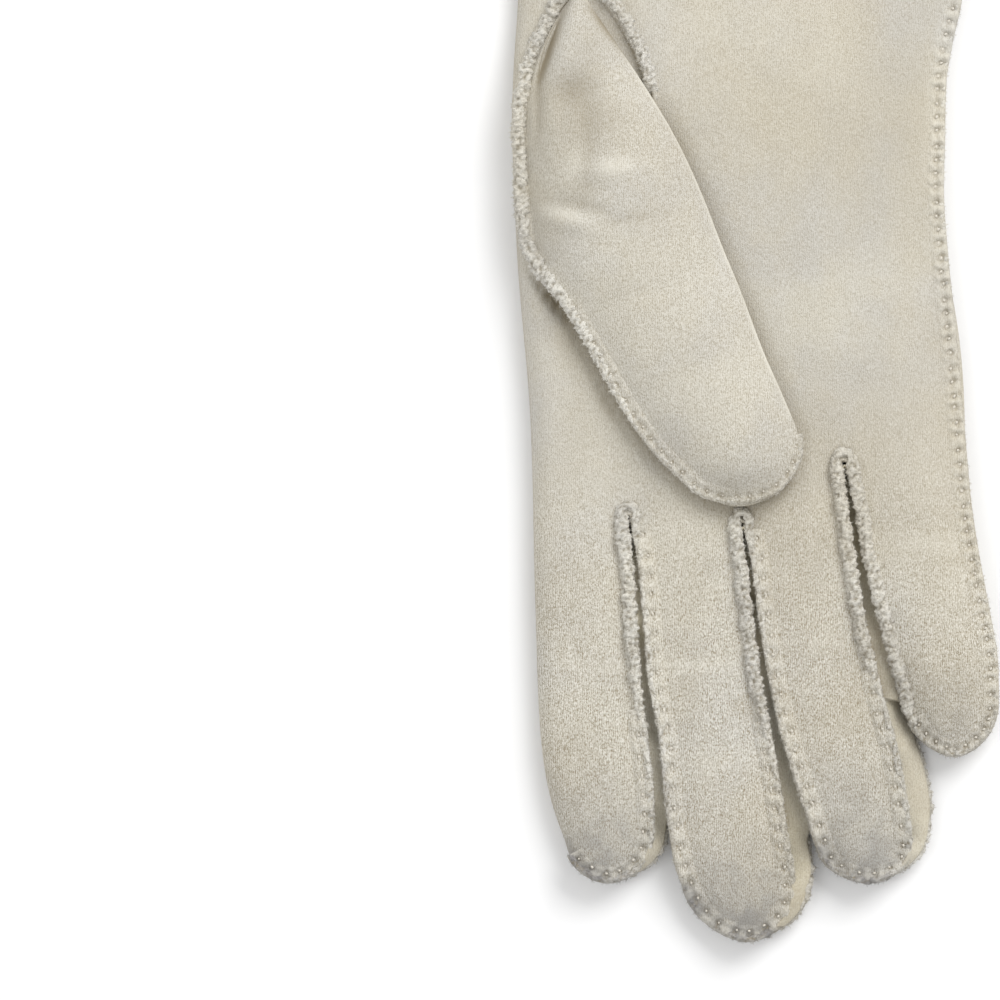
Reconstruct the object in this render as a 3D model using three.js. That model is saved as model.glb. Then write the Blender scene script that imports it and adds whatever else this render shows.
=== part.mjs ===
// A dress glove of suede-finished cotton cloth, sewn with its raw edges standing outside.
// It lies palm up, with the fingers towards -Y, the cuff towards +Y and the thumb folded over the palm.
// X is across the hand, from the index side to the little-finger side, and Z is up from the surface below.
import * as THREE from "three";

// Driving sizes in millimetres
const CLOTH = 1.0;
const HEM = 1.7;
const SEAM_WIDTH = 1.8;
const SEAM_STEP = 0.2;
const SEAM_GAP = 0.3;
const HALF_SLOT = 0.3;
const WELT = 2 * CLOTH + SEAM_GAP;
const WELT_HEIGHT = 1.1;
const HIDDEN_WELT_HEIGHT = 0.3;
const SEAM_Z = 4.2;
const HALF_SEAM = CLOTH + 0.1;
const PALM_Z = 8.8;
const PALM_CROWN = 0.8;
const SEAM_SHOULDER = 12;
const BACK_SHOULDER = 9;
const BACK_FOLD = 4;
const FOLD_Z = 3.8;
const HOLE_EDGE_Z = 8.0;
const OPEN_SEAM = 2.6;
const FINGER_Z = 9.6;
const FINGER_FOLD = 6;
const TIP_Z = 8.3;
const TIP_DROP = 0.9;
const TIP_POINT = 1.2;
const CROTCH_DIP = 1.5;
const CROTCH_REACH = 8;
const SLIT_END = 2.5;
const STRIP_SHOULDER = 0.5;
const STRIP_CLEARANCE = 0.35;
const STRIP_FOOT = 0.2;
const BEND_INSET = 0.6;
const THUMB_CLEARANCE = 0.6;
const THUMB_HEIGHT = 7.8;
const THUMB_FOLD_Z = 3.0;
const THUMB_SEAM_Z = 1.9;
const HALF_SLIT = 0.1;
const SLIT_OPENING = 0.2;
const SLIT_STEP = 0.6;
const HAND_SLIT_STEP = 0.4;
const THINNEST_HOLLOW = 0.3;

// Shares of a row's width: the least that its hollow keeps, and the most that a seam, its slit and a fold take
const LEAST_HOLLOW_SHARE = 0.35;
const MOST_SEAM_SHARE = 0.16;
const MOST_SLIT_SHARE = 0.05;
const MOST_FOLD_SHARE = 0.3;
const HOLLOW_FOLD_SHARE = 0.28;

// How full a finger and the thumb are: the lower the power, the flatter their tops and the steeper their sides
const FINGER_FULLNESS = 0.6;
const THUMB_FULLNESS = 0.65;

// Where the thumb's fold turns under: how far in, how far up, and the share of the hollow's width there
const UNDERTURN = { reach: 0.3, rise: 0.35, share: 0.98 };

// Outline of the hand lying flat: the folded edge at the left and the sewn raw edge at the right
const HAND = [
  { y: 120.4, left: -49.1, right: 44.5 },
  { y: 85, left: -47.6, right: 43.1 },
  { y: 67.6, left: -46.9, right: 41.8 },
  { y: 59.6, left: -47.4, right: 40.1 },
  { y: 51.6, left: -47.8, right: 38.7 },
  { y: 39.6, left: -48.0, right: 38.4 },
  { y: 27.6, left: -47.4, right: 38.2 },
  { y: 15.6, left: -47.0, right: 39.1 },
  { y: 3.6, left: -46.1, right: 40.3 },
  { y: -12.4, left: -44.6, right: 41.8 },
  { y: -32.4, left: -43.9, right: 43.1 },
];

// Rows of the hand above the thumb hole: where the palm's crown meets the fold, and how thick the cloth is
const CUFF_ROWS = [
  { y: 120.4, crownX: -40.2, cloth: HEM },
  { y: 109.0, crownX: -38.5, cloth: HEM },
  { y: 108.4, crownX: -38.4, cloth: CLOTH },
  { y: 96.0, crownX: -36.4, cloth: CLOTH },
  { y: 83.0, crownX: -34.6, cloth: CLOTH },
];

// The seam round the thumb hole, from its top to the thumb's crotch, down its outer and its palm side, with
// the height of the welt on the palm side, which is pressed flat where the thumb covers it
const HOLE_ROWS = [
  { outerX: -33.3, outerY: 72.0, palmX: -33.3, palmY: 72.0, welt: WELT_HEIGHT },
  { outerX: -38.3, outerY: 67.2, palmX: -28.5, palmY: 67.2, welt: WELT_HEIGHT },
  { outerX: -41.7, outerY: 62.0, palmX: -24.9, palmY: 62.0, welt: WELT_HEIGHT },
  { outerX: -44.7, outerY: 55.6, palmX: -22.1, palmY: 56.6, welt: WELT_HEIGHT },
  { outerX: -46.4, outerY: 48.6, palmX: -20.3, palmY: 50.8, welt: WELT_HEIGHT },
  { outerX: -46.7, outerY: 41.6, palmX: -20.3, palmY: 44.6, welt: HIDDEN_WELT_HEIGHT },
  { outerX: -46.2, outerY: 32.6, palmX: -22.7, palmY: 36.6, welt: HIDDEN_WELT_HEIGHT },
  { outerX: -45.5, outerY: 22.6, palmX: -27.9, palmY: 26.6, welt: HIDDEN_WELT_HEIGHT },
  { outerX: -43.9, outerY: 15.2, palmX: -34.3, palmY: 17.6, welt: HIDDEN_WELT_HEIGHT },
  { outerX: -41.3, outerY: 11.2, palmX: -41.3, palmY: 11.2, welt: HIDDEN_WELT_HEIGHT },
];
const CROTCH = HOLE_ROWS.length - 1;

// Rows of the hand below the thumb's crotch, as shares of the way to the slots between the fingers
const LOWER_ROWS = [0.2, 0.42, 0.64, 0.84, 1];

// The slots between the fingers: where each begins, and how far the back's raw edges lie right of the palm's
const SLOTS = [
  {
    x: -24.8,
    y: -32.9,
    shifts: [
      { y: -60, right: 0 },
      { y: -78, right: 1.4 },
      { y: -90, right: 2.0 },
      { y: -99, right: 3.0 },
      { y: -103, right: 2.6 },
      { y: -108, right: 0.4 },
    ],
  },
  {
    x: -2.3,
    y: -34.6,
    shifts: [
      { y: -50, right: 0 },
      { y: -72, right: 1.6 },
      { y: -90, right: 3.4 },
      { y: -103, right: 4.8 },
      { y: -110, right: 3.0 },
      { y: -120, right: 1.0 },
    ],
  },
  {
    x: 17.9,
    y: -20.6,
    shifts: [
      { y: -36, right: 0 },
      { y: -60, right: 1.6 },
      { y: -76, right: 4.4 },
      { y: -90, right: 5.6 },
      { y: -99, right: 3.8 },
      { y: -108, right: 1.0 },
    ],
  },
];

// The palm side of each finger: its two raw edges, or the index finger's fold and raw edge, from the slots to
// where the tip begins, then the end of the tip
const FINGERS = [
  {
    name: "index",
    columns: [0.46, 0.62, 0.77],
    rows: [
      { leftX: -43.9, leftY: -32.4, rightX: -25.1, rightY: -32.9 },
      { leftX: -43.8, leftY: -44.4, rightX: -23.9, rightY: -44.4 },
      { leftX: -43.4, leftY: -56.4, rightX: -23.1, rightY: -56.4 },
      { leftX: -43.1, leftY: -68.4, rightX: -22.3, rightY: -68.4 },
      { leftX: -42.5, leftY: -81.4, rightX: -20.7, rightY: -81.4 },
      { leftX: -40.8, leftY: -91.5, rightX: -19.7, rightY: -91.5 },
      { leftX: -38.7, leftY: -97.6, rightX: -19.6, rightY: -97.6 },
      { leftX: -37.5, leftY: -100.4, rightX: -19.8, rightY: -100.4 },
    ],
    tipX: -28.8,
    tipY: -108.8,
  },
  {
    name: "middle",
    columns: [0.27, 0.5, 0.73],
    rows: [
      { leftX: -24.5, leftY: -32.9, rightX: -2.6, rightY: -34.6 },
      { leftX: -22.9, leftY: -44.4, rightX: -1.2, rightY: -45.4 },
      { leftX: -21.7, leftY: -56.4, rightX: 0.1, rightY: -56.4 },
      { leftX: -20.7, leftY: -68.4, rightX: 1.7, rightY: -68.4 },
      { leftX: -18.5, leftY: -80.4, rightX: 4.0, rightY: -80.4 },
      { leftX: -17.5, leftY: -91.5, rightX: 5.7, rightY: -90.4 },
      { leftX: -16.7, leftY: -97.6, rightX: 6.9, rightY: -98.4 },
      { leftX: -15.3, leftY: -105.6, rightX: 8.2, rightY: -105.6 },
      { leftX: -14.1, leftY: -108.8, rightX: 8.6, rightY: -108.8 },
    ],
    tipX: -1.0,
    tipY: -120.5,
  },
  {
    name: "ring",
    columns: [0.27, 0.5, 0.73],
    rows: [
      { leftX: -2.0, leftY: -34.6, rightX: 17.6, rightY: -20.6 },
      { leftX: -0.1, leftY: -45.4, rightX: 19.0, rightY: -34.4 },
      { leftX: 1.3, leftY: -56.4, rightX: 20.9, rightY: -47.4 },
      { leftX: 3.3, leftY: -68.4, rightX: 23.1, rightY: -59.6 },
      { leftX: 6.1, leftY: -80.4, rightX: 25.9, rightY: -70.8 },
      { leftX: 9.1, leftY: -90.4, rightX: 28.9, rightY: -82.0 },
      { leftX: 11.1, leftY: -96.4, rightX: 30.9, rightY: -92.4 },
      { leftX: 12.0, leftY: -99.6, rightX: 31.7, rightY: -98.6 },
      { leftX: 12.9, leftY: -102.0, rightX: 31.8, rightY: -101.6 },
    ],
    tipX: 23.3,
    tipY: -108.8,
  },
  {
    name: "little",
    columns: [0.27, 0.5, 0.73],
    rows: [
      { leftX: 18.2, leftY: -20.6, rightX: 42.6, rightY: -21.6 },
      { leftX: 20.1, leftY: -32.4, rightX: 43.7, rightY: -33.4 },
      { leftX: 22.0, leftY: -43.4, rightX: 45.4, rightY: -44.4 },
      { leftX: 24.5, leftY: -53.4, rightX: 47.3, rightY: -54.4 },
      { leftX: 26.8, leftY: -62.4, rightX: 48.8, rightY: -63.0 },
      { leftX: 28.6, leftY: -69.0, rightX: 49.1, rightY: -69.2 },
      { leftX: 29.6, leftY: -72.0, rightX: 49.1, rightY: -72.0 },
    ],
    tipX: 40.3,
    tipY: -83.6,
  },
];
const FINGER_COLUMNS = 5;
const TIP_TURNS = [22, 45, 66, 82];
const STRIP_NAMES = ["fourchette_index_middle", "fourchette_middle_ring", "fourchette_ring_little"];

// The thumb from the top of its hole to where its tip begins: its outer edge, which is the hole's seam as far
// as the crotch and its own raw edge from there, its folded edge, and the share of its full height
const THUMB_FOLD_ROWS = [
  { foldX: -33.1, foldY: 67.0, height: 0.35 },
  { foldX: -30.3, foldY: 63.4, height: 0.55 },
  { foldX: -26.9, foldY: 58.2, height: 0.7 },
  { foldX: -23.3, foldY: 53.0, height: 0.85 },
  { foldX: -19.7, foldY: 47.4, height: 0.95 },
  { foldX: -15.9, foldY: 41.2, height: 1 },
  { foldX: -12.5, foldY: 34.4, height: 1 },
  { foldX: -10.5, foldY: 29.8, height: 1 },
  { foldX: -8.9, foldY: 26.0, height: 1 },
];
const THUMB_SEWN_ROWS = [
  { seamX: -36.7, seamY: 5.2, foldX: -5.5, foldY: 16.8 },
  { seamX: -32.3, seamY: -2.4, foldX: -2.3, foldY: 9.6 },
  { seamX: -28.3, seamY: -10.0, foldX: 0.3, foldY: 2.2 },
  { seamX: -23.9, seamY: -17.4, foldX: 2.9, foldY: -4.6 },
  { seamX: -18.9, seamY: -24.0, foldX: 5.5, foldY: -10.0 },
  { seamX: -13.5, seamY: -29.2, foldX: 7.7, foldY: -15.4 },
];
const THUMB_TIP = { x: 4.7, y: -31.0 };

// Where the thumb's spots lie: over the top from its outer seam to the fold, back below where the thumb is
// sewn shut, and below beside the hole from the fold to where the cloth turns down to the seam
const THUMB_COLUMNS = [0.15, 0.38, 0.62, 0.83, 0.95];
const THUMB_SEWN_UNDER_COLUMNS = [0.85, 0.55, 0.26, 0.15];
const THUMB_HOLE_UNDER_COLUMNS = [0.3, 0.8];

// The last row of the hole whose seam on the palm side is open to view, and the last with its own turn there
const LAST_SEEN_ROW = 4;
const LAST_TURN_ROW = 5;
const TURN_REACH = 2.9;

// Dents and swells of the thumb's upper side, each a round one of the given reach
const THUMB_DENTS = [
  { x: -36.3, y: 48.8, reach: 4.5, rise: -0.8 },
  { x: -27.8, y: 33.2, reach: 5.0, rise: 0.6 },
  { x: -33.5, y: 22.0, reach: 4.0, rise: -0.9 },
  { x: -36.3, y: 17.0, reach: 4.0, rise: 0.6 },
];

const flat = (x, y) => new THREE.Vector2(x, y);
const CROTCH_AWAY = flat(-0.8, -0.6);
const lift = (place, z) => new THREE.Vector3(place.x, place.y, z);
const mix = (a, b, share) => a + (b - a) * share;
const clamp = (value) => Math.min(Math.max(value, 0), 1);
const sineShoulder = (distance, reach) => Math.sin((Math.PI / 2) * clamp(distance / reach));

/** The height that a round dent or swell adds at a place. */
function swell(place, { x, y, reach, rise }) {
  return rise * Math.exp(-((place.x - x) ** 2 + (place.y - y) ** 2) / reach ** 2);
}

/** The value of one column of a table at a place down its y column, on a smooth curve through the rows. */
function readTable(rows, column, y) {
  const last = rows.length - 1;
  if (y >= rows[0].y) return rows[0][column];
  if (y <= rows[last].y) return rows[last][column];
  const next = rows.findIndex((row) => row.y < y);
  const slopeAt = (i) => {
    const before = rows[Math.max(i - 1, 0)];
    const after = rows[Math.min(i + 1, last)];
    return (after[column] - before[column]) / (after.y - before.y);
  };
  const [start, end] = [rows[next - 1], rows[next]];
  const span = end.y - start.y;
  const t = (y - start.y) / span;
  const ease = t * t * (3 - 2 * t);
  const bend = span * t * (1 - t) * ((1 - t) * slopeAt(next - 1) - t * slopeAt(next));
  return mix(start[column], end[column], ease) + bend;
}

const leftEdge = (y) => readTable(HAND, "left", y);
const rightEdge = (y) => readTable(HAND, "right", y);

/** Height of the palm's outer face, right of the fold. */
function palmTop(place) {
  const across = clamp((place.x - leftEdge(place.y)) / (rightEdge(place.y) - leftEdge(place.y)));
  const crown = PALM_Z + PALM_CROWN * Math.sin(Math.PI * across) - SEAM_Z - HALF_SEAM;
  const shoulder = sineShoulder(rightEdge(place.y) - SEAM_WIDTH - place.x, SEAM_SHOULDER);
  const dips = SLOTS.map(({ x, y }) => swell(place, { x, y, reach: CROTCH_REACH, rise: CROTCH_DIP }));
  return SEAM_Z + HALF_SEAM + crown * shoulder - dips.reduce((sum, dip) => sum + dip, 0);
}

/** Height of the back's outer face, which lies on the surface below except near the side seam. */
function backBottom(place) {
  const rise = sineShoulder(rightEdge(place.y) - SEAM_WIDTH - place.x, BACK_SHOULDER);
  return (SEAM_Z - HALF_SEAM) * (1 - rise);
}

/** A sheet of cloth: spots with an outer and an inner place, and cells, counterclockwise from outside. */
class Cloth {
  constructor() {
    this.spots = [];
    this.cells = [];
  }

  spot(outer, inner = null, thickness = CLOTH) {
    this.spots.push({ outer, inner, thickness });
    return this.spots.length - 1;
  }

  /** Cells between two rows of spots, where the second row lies below the first as seen from outside. */
  strip(upper, lower) {
    for (let i = 0; i + 1 < upper.length; i += 1) {
      this.cells.push([upper[i], lower[i], lower[i + 1], upper[i + 1]]);
    }
  }

  /** Three-sided cells from one spot down to a row below it. */
  fan(top, row) {
    for (let i = 0; i + 1 < row.length; i += 1) this.cells.push([top, row[i], row[i + 1]]);
  }

  /** Gives each spot without an inner place one at its thickness, straight in from the outer face. */
  fillInnerFace() {
    const normals = this.spots.map(() => new THREE.Vector3());
    for (const cell of this.cells) {
      const corners = cell.map((id) => this.spots[id].outer);
      const normal = new THREE.Vector3();
      for (let i = 1; i + 1 < corners.length; i += 1) {
        const one = corners[i].clone().sub(corners[0]);
        normal.add(one.cross(corners[i + 1].clone().sub(corners[0])));
      }
      for (const id of cell) normals[id].add(normal);
    }
    this.spots.forEach((spot, id) => {
      spot.inner ??= spot.outer.clone().addScaledVector(normals[id].normalize(), -spot.thickness);
    });
  }

  /** The edges that belong to one cell only, each in its cell's direction. */
  openEdges() {
    const edges = new Map();
    for (const cell of this.cells) {
      cell.forEach((from, i) => {
        const to = cell[(i + 1) % cell.length];
        if (!edges.delete(`${to} ${from}`)) edges.set(`${from} ${to}`, [from, to]);
      });
    }
    return [...edges.values()];
  }

  /** The closed solid: both faces, and a wall along every open edge. */
  geometry() {
    this.fillInnerFace();
    const count = this.spots.length;
    const places = [...this.spots.map((s) => s.outer), ...this.spots.map((s) => s.inner)];
    const index = [];
    for (const cell of this.cells) {
      for (let i = 1; i + 1 < cell.length; i += 1) {
        index.push(cell[0], cell[i], cell[i + 1]);
        index.push(cell[0] + count, cell[i + 1] + count, cell[i] + count);
      }
    }
    for (const [from, to] of this.openEdges()) {
      index.push(to, from, from + count);
      index.push(to, from + count, to + count);
    }
    const made = new THREE.BufferGeometry();
    made.setAttribute("position", new THREE.Float32BufferAttribute(places.flatMap((p) => p.toArray()), 3));
    made.setIndex(index);
    made.computeVertexNormals();
    return made;
  }
}

/** Half the height between the sewn edges of palm and back, by the share of the way along a finger. */
const halfOpening = (share) => HALF_SEAM + OPEN_SEAM * (1 - share ** 3);

/** The rows of a flat tube with a rounded tip: its edges, the share of the way along, and the tip's turn. */
function tubeRows(straight, tip) {
  const { left, right } = straight[straight.length - 1];
  const middle = left.clone().lerp(right, 0.5);
  const reach = tip.clone().sub(middle);
  const round = TIP_TURNS.map((degrees) => {
    const turn = THREE.MathUtils.degToRad(degrees);
    const centre = middle.clone().addScaledVector(reach, Math.sin(turn));
    const width = Math.cos(turn) ** TIP_POINT;
    return {
      left: centre.clone().addScaledVector(left.clone().sub(middle), width),
      right: centre.clone().addScaledVector(right.clone().sub(middle), width),
      share: 1,
      turn,
    };
  });
  return [...straight, ...round];
}

/** A row moved in from the outline by the seam's width, for the hollow inside a sewn edge. */
function insetRow(row, tip) {
  if (row.turn === 0) {
    const step = row.right.clone().sub(row.left).setLength(SEAM_WIDTH);
    return { left: row.left.clone().add(step), right: row.right.clone().sub(step) };
  }
  const middle = row.left.clone().lerp(row.right, 0.5);
  const back = middle.clone().sub(tip).setLength(SEAM_WIDTH * Math.sin(row.turn));
  const half = row.right.clone().sub(row.left).multiplyScalar(0.5);
  const inner = Math.max(half.length() - SEAM_WIDTH * Math.cos(row.turn), LEAST_HOLLOW_SHARE * half.length());
  half.setLength(inner);
  const centre = middle.add(back);
  return { left: centre.clone().sub(half), right: centre.clone().add(half) };
}

/** Whether a finger's edge is sewn palm to back: past the strips, and down the little finger's side. */
function isSewn(finger, rowNumber, side) {
  if (side === "right" && finger.name === "little") return true;
  return rowNumber >= finger.rows.length - 1;
}

/** The rows of one face of a finger. The back's edges lie to the right of the palm's. */
function fingerRows(number, face) {
  const finger = FINGERS[number];
  const shiftOf = (slot, y) => (slot && face < 0 ? readTable(slot.shifts, "right", y) : 0);
  const straight = finger.rows.map((row, i) => ({
    left: flat(row.leftX + shiftOf(SLOTS[number - 1], row.leftY), row.leftY),
    right: flat(row.rightX + shiftOf(SLOTS[number], row.rightY), row.rightY),
    share: i / (finger.rows.length - 1),
    turn: 0,
  }));
  return tubeRows(straight, flat(finger.tipX, finger.tipY));
}

/** The heights across a row of one face of a finger: of its two edges, and at any share of the way across. */
function fingerHeights(finger, rowNumber, row, face) {
  const seamZ = SEAM_Z - TIP_DROP * Math.sin(row.turn);
  const open = seamZ + face * halfOpening(row.share);
  const shut = seamZ + face * HALF_SEAM;
  const peak = mix(shut, face > 0 ? mix(FINGER_Z, TIP_Z, row.share) : 0, Math.cos(row.turn));
  const left = finger.name === "index" ? peak : isSewn(finger, rowNumber, "left") ? shut : open;
  const right = isSewn(finger, rowNumber, "right") ? shut : open;
  const at = (share) => {
    const edge = share < 0.5 ? left : right;
    return mix(edge, peak, Math.sin(Math.PI * clamp(share)) ** FINGER_FULLNESS);
  };
  return { left, right, at, seamZ };
}

/** The raw edge and the seam line of one face at a sewn edge, as outer and inner places. */
function sewnBorder(row, inset, side, seamZ, face) {
  const [edge, other] = side === "left" ? [row.left, row.right] : [row.right, row.left];
  const [pulled, facing] = side === "left" ? [inset.left, inset.right] : [inset.right, inset.left];
  const width = edge.distanceTo(other);
  const z = seamZ + face * HALF_SEAM;
  const slit = seamZ + face * HALF_SLIT;
  const seam = edge.clone().lerp(other, Math.min((SEAM_WIDTH + SEAM_STEP) / width, MOST_SEAM_SHARE));
  const pulledSeam = pulled.clone().lerp(facing, Math.min(SLIT_STEP / width, MOST_SLIT_SHARE));
  return {
    raw: [lift(edge, z), lift(pulled, slit)],
    seam: [lift(seam, z + face * HALF_SLIT), lift(pulledSeam, slit + face * SLIT_OPENING)],
  };
}

/** The raw edge and the seam line of one face where a strip lies between palm and back. */
function openBorder(row, side, z, face) {
  const edge = row[side];
  const into = side === "left" ? 1 : -1;
  const outer = flat(edge.x + into * WELT, edge.y);
  if (face < 0) {
    return {
      raw: [lift(edge, z), lift(edge, z + CLOTH)],
      seam: [lift(outer, z / 2), lift(outer, z / 2 + CLOTH)],
    };
  }
  const inner = flat(outer.x - into * CLOTH, outer.y);
  return {
    raw: [lift(outer, z + WELT_HEIGHT), lift(inner, z + WELT_HEIGHT)],
    seam: [lift(outer, z), lift(inner, z - CLOTH)],
  };
}

/** The spots of one face of a finger across one row, from the left to the right. */
function fingerRowSpots(cloth, number, rowNumber, row, face) {
  const finger = FINGERS[number];
  const heights = fingerHeights(finger, rowNumber, row, face);
  const inset = insetRow(row, flat(finger.tipX, finger.tipY));
  const middle = finger.columns.map((share) => {
    const outer = lift(row.left.clone().lerp(row.right, share), heights.at(share));
    if (row.turn === 0) return cloth.spot(outer);
    const height = Math.max((outer.z - heights.seamZ) * face - CLOTH, THINNEST_HOLLOW);
    return cloth.spot(outer, lift(inset.left.clone().lerp(inset.right, share), heights.seamZ + face * height));
  });
  const border = (side) => {
    const places = isSewn(finger, rowNumber, side)
      ? sewnBorder(row, inset, side, heights.seamZ, face)
      : openBorder(row, side, heights[side], face);
    return { raw: cloth.spot(...places.raw), seam: cloth.spot(...places.seam) };
  };
  const right = border("right");
  if (finger.name !== "index") {
    const left = border("left");
    return [left.raw, left.seam, ...middle, right.seam, right.raw];
  }
  const width = row.left.distanceTo(row.right);
  const crown = row.left.clone().lerp(row.right, Math.min(FINGER_FOLD / width, MOST_FOLD_SHARE));
  const crownInner = inset.left.clone().lerp(inset.right, HOLLOW_FOLD_SHARE);
  const depth = Math.max((heights.at(0) - heights.seamZ) * face - CLOTH, THINNEST_HOLLOW);
  const inner = row.turn > 0 ? lift(crownInner, heights.seamZ + face * depth) : null;
  return [cloth.spot(lift(crown, heights.at(0)), inner), ...middle, right.seam, right.raw];
}

const FOLD_ANGLES = [-60, -30, 0, 30, 60];

/** The spots of the trank's folded edge across one row, from the back round to the palm. */
function foldSpots(cloth, edge, backCrown, palmCrown, foldZ, thickness, innerEdge = null) {
  return FOLD_ANGLES.map((degrees) => {
    const angle = THREE.MathUtils.degToRad(degrees);
    const crown = degrees < 0 ? backCrown : palmCrown;
    const middle = lift(edge, foldZ);
    const round = (from, to) => new THREE.Vector3(
      mix(to.x, from.x, Math.cos(angle)),
      mix(to.y, from.y, Math.cos(angle)),
      mix(from.z, to.z, Math.abs(Math.sin(angle))),
    );
    const outer = round(middle, crown.outer);
    return cloth.spot(outer, innerEdge ? round(lift(innerEdge, foldZ), crown.inner) : null, thickness);
  });
}

/** The columns of the hand, as places across the row where the fingers begin. */
function handColumns() {
  const columns = [];
  FINGERS.forEach((finger, number) => {
    const { leftX, leftY, rightX, rightY } = finger.rows[0];
    const left = flat(leftX, leftY);
    const right = flat(rightX, rightY);
    const end = finger.name === "little" ? SEAM_WIDTH + SEAM_STEP : WELT;
    columns.push(flat(leftX + (number === 0 ? FINGER_FOLD : WELT), leftY));
    for (const share of finger.columns) columns.push(left.clone().lerp(right, share));
    columns.push(flat(rightX - end, rightY));
    if (finger.name === "little") columns.push(right);
  });
  return columns;
}

/** The two points of the thumb hole's seam in one of its rows, on its outer side and on its palm side. */
function holeSeams(rowNumber) {
  const { outerX, outerY, palmX, palmY } = HOLE_ROWS[rowNumber];
  return { outer: flat(outerX, outerY), palm: flat(palmX, palmY) };
}

/** The direction away from the thumb hole at one point of its seam. */
function holeAway(rowNumber, side) {
  if (rowNumber === 0) return flat(0, 1);
  if (rowNumber === CROTCH) return CROTCH_AWAY.clone();
  const before = holeSeams(rowNumber - 1)[side];
  const run = holeSeams(rowNumber + 1)[side].sub(before).normalize();
  return side === "outer" ? flat(run.y, -run.x) : flat(-run.y, run.x);
}

/** A standing or a flat welt at the thumb hole: the cloth's edge, on the side of the seam that away gives. */
function holeWelt(cloth, seam, away, z, height) {
  const near = seam.clone().addScaledVector(away, SEAM_GAP / 2);
  const far = seam.clone().addScaledVector(away, SEAM_GAP / 2 + CLOTH);
  return {
    base: cloth.spot(lift(far, z), lift(near, z - CLOTH)),
    lip: cloth.spot(lift(far, z + height), lift(near, z + height)),
    crown: { outer: lift(far, z), inner: lift(near, z - CLOTH) },
  };
}

/** The spots of a row of the hand: the palm from left to right, the back from right to left, then the fold. */
function handRow(cloth, { palm, back, thickness = CLOTH, start, startCrown, end }) {
  const last = palm.length - 1;
  const face = (places, side) => places.map((place, i) => {
    if (i === 0 && side > 0) return start;
    if (i === last) {
      const inner = lift(flat(place.x - SEAM_WIDTH, place.y), SEAM_Z + side * HALF_SLIT);
      return cloth.spot(lift(place, SEAM_Z + side * HALF_SEAM), inner);
    }
    const z = side > 0 ? palmTop(place) : backBottom(place);
    if (i < last - 1) return cloth.spot(lift(place, z), null, thickness);
    const slitZ = SEAM_Z + side * (HALF_SLIT + SLIT_OPENING);
    return cloth.spot(lift(place, z), lift(flat(place.x - HAND_SLIT_STEP, place.y), slitZ));
  });
  const palmSpots = face(palm, 1);
  const backSpots = face(back, -1).reverse();
  const edge = flat(leftEdge(back[0].y), back[0].y);
  const fold = foldSpots(cloth, edge, { outer: lift(back[0], 0) }, startCrown, FOLD_Z, thickness);
  return { palm: palmSpots, back: backSpots, fold, loop: [...palmSpots, ...backSpots, ...fold, end ?? start] };
}

/** The rows of the cuff, from its hem to just above the thumb hole. */
function addCuffRows(cloth, rows, shares) {
  for (const { y, crownX, cloth: thickness } of CUFF_ROWS) {
    const crown = lift(flat(crownX, y), palmTop(flat(crownX, y)));
    rows.push(handRow(cloth, {
      palm: shares.map((share) => flat(mix(crownX, rightEdge(y), share), y)),
      back: shares.map((share) => flat(mix(leftEdge(y) + BACK_FOLD, rightEdge(y), share), y)),
      thickness,
      start: cloth.spot(crown, null, thickness),
      startCrown: { outer: crown },
    }));
  }
}

/** The rows of the hand beside the thumb hole, and the welt round the hole. Returns the place of the crotch. */
function addHoleRows(cloth, rows, shares) {
  const welts = HOLE_ROWS.map((row, i) => {
    const seams = holeSeams(i);
    const shut = i === 0 || i === CROTCH;
    const palm = holeWelt(cloth, seams.palm, holeAway(i, "palm"), palmTop(seams.palm), row.welt);
    const outer = shut ? palm : holeWelt(cloth, seams.outer, holeAway(i, "outer"), HOLE_EDGE_Z, WELT_HEIGHT);
    const startX = palm.crown.outer.x;
    rows.push(handRow(cloth, {
      palm: shares.map((share) => {
        const y = mix(row.palmY, row.outerY, share);
        return flat(mix(startX, rightEdge(y), share), y);
      }),
      back: shares.map((share) => {
        return flat(mix(leftEdge(row.outerY) + BACK_FOLD, rightEdge(row.outerY), share), row.outerY);
      }),
      start: palm.base,
      startCrown: outer.crown,
      end: outer.base,
    }));
    return { palm, outer };
  });
  welts.slice(1).forEach((welt, i) => {
    const above = welts[i];
    cloth.strip([above.palm.lip, above.palm.base], [welt.palm.lip, welt.palm.base]);
    cloth.strip([above.outer.base, above.outer.lip], [welt.outer.base, welt.outer.lip]);
  });
  const { outer } = welts[welts.length - 1].palm.crown;
  return flat(outer.x, outer.y);
}

/** The rows of the hand from the thumb's crotch to the slots between the fingers. */
function addLowerRows(cloth, rows, shares, columns, crotch) {
  const last = columns.length - 1;
  for (const way of LOWER_ROWS) {
    const ys = columns.map((column) => mix(crotch.y, column.y, way));
    const rightX = (i) => mix(rightEdge(ys[i]), columns[last].x, way);
    const startX = mix(crotch.x, columns[0].x, Math.sin((Math.PI / 2) * way));
    const palm = shares.map((share, i) => flat(mix(startX, rightX(i), share), ys[i]));
    const back = shares.map((share, i) => {
      const x = mix(leftEdge(ys[i]) + BACK_FOLD, rightX(i), share);
      return flat(i === 0 ? x : mix(x, columns[i].x, way), ys[i]);
    });
    const crown = lift(palm[0], palmTop(palm[0]));
    rows.push(handRow(cloth, { palm, back, start: cloth.spot(crown), startCrown: { outer: crown } }));
  }
}

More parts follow.
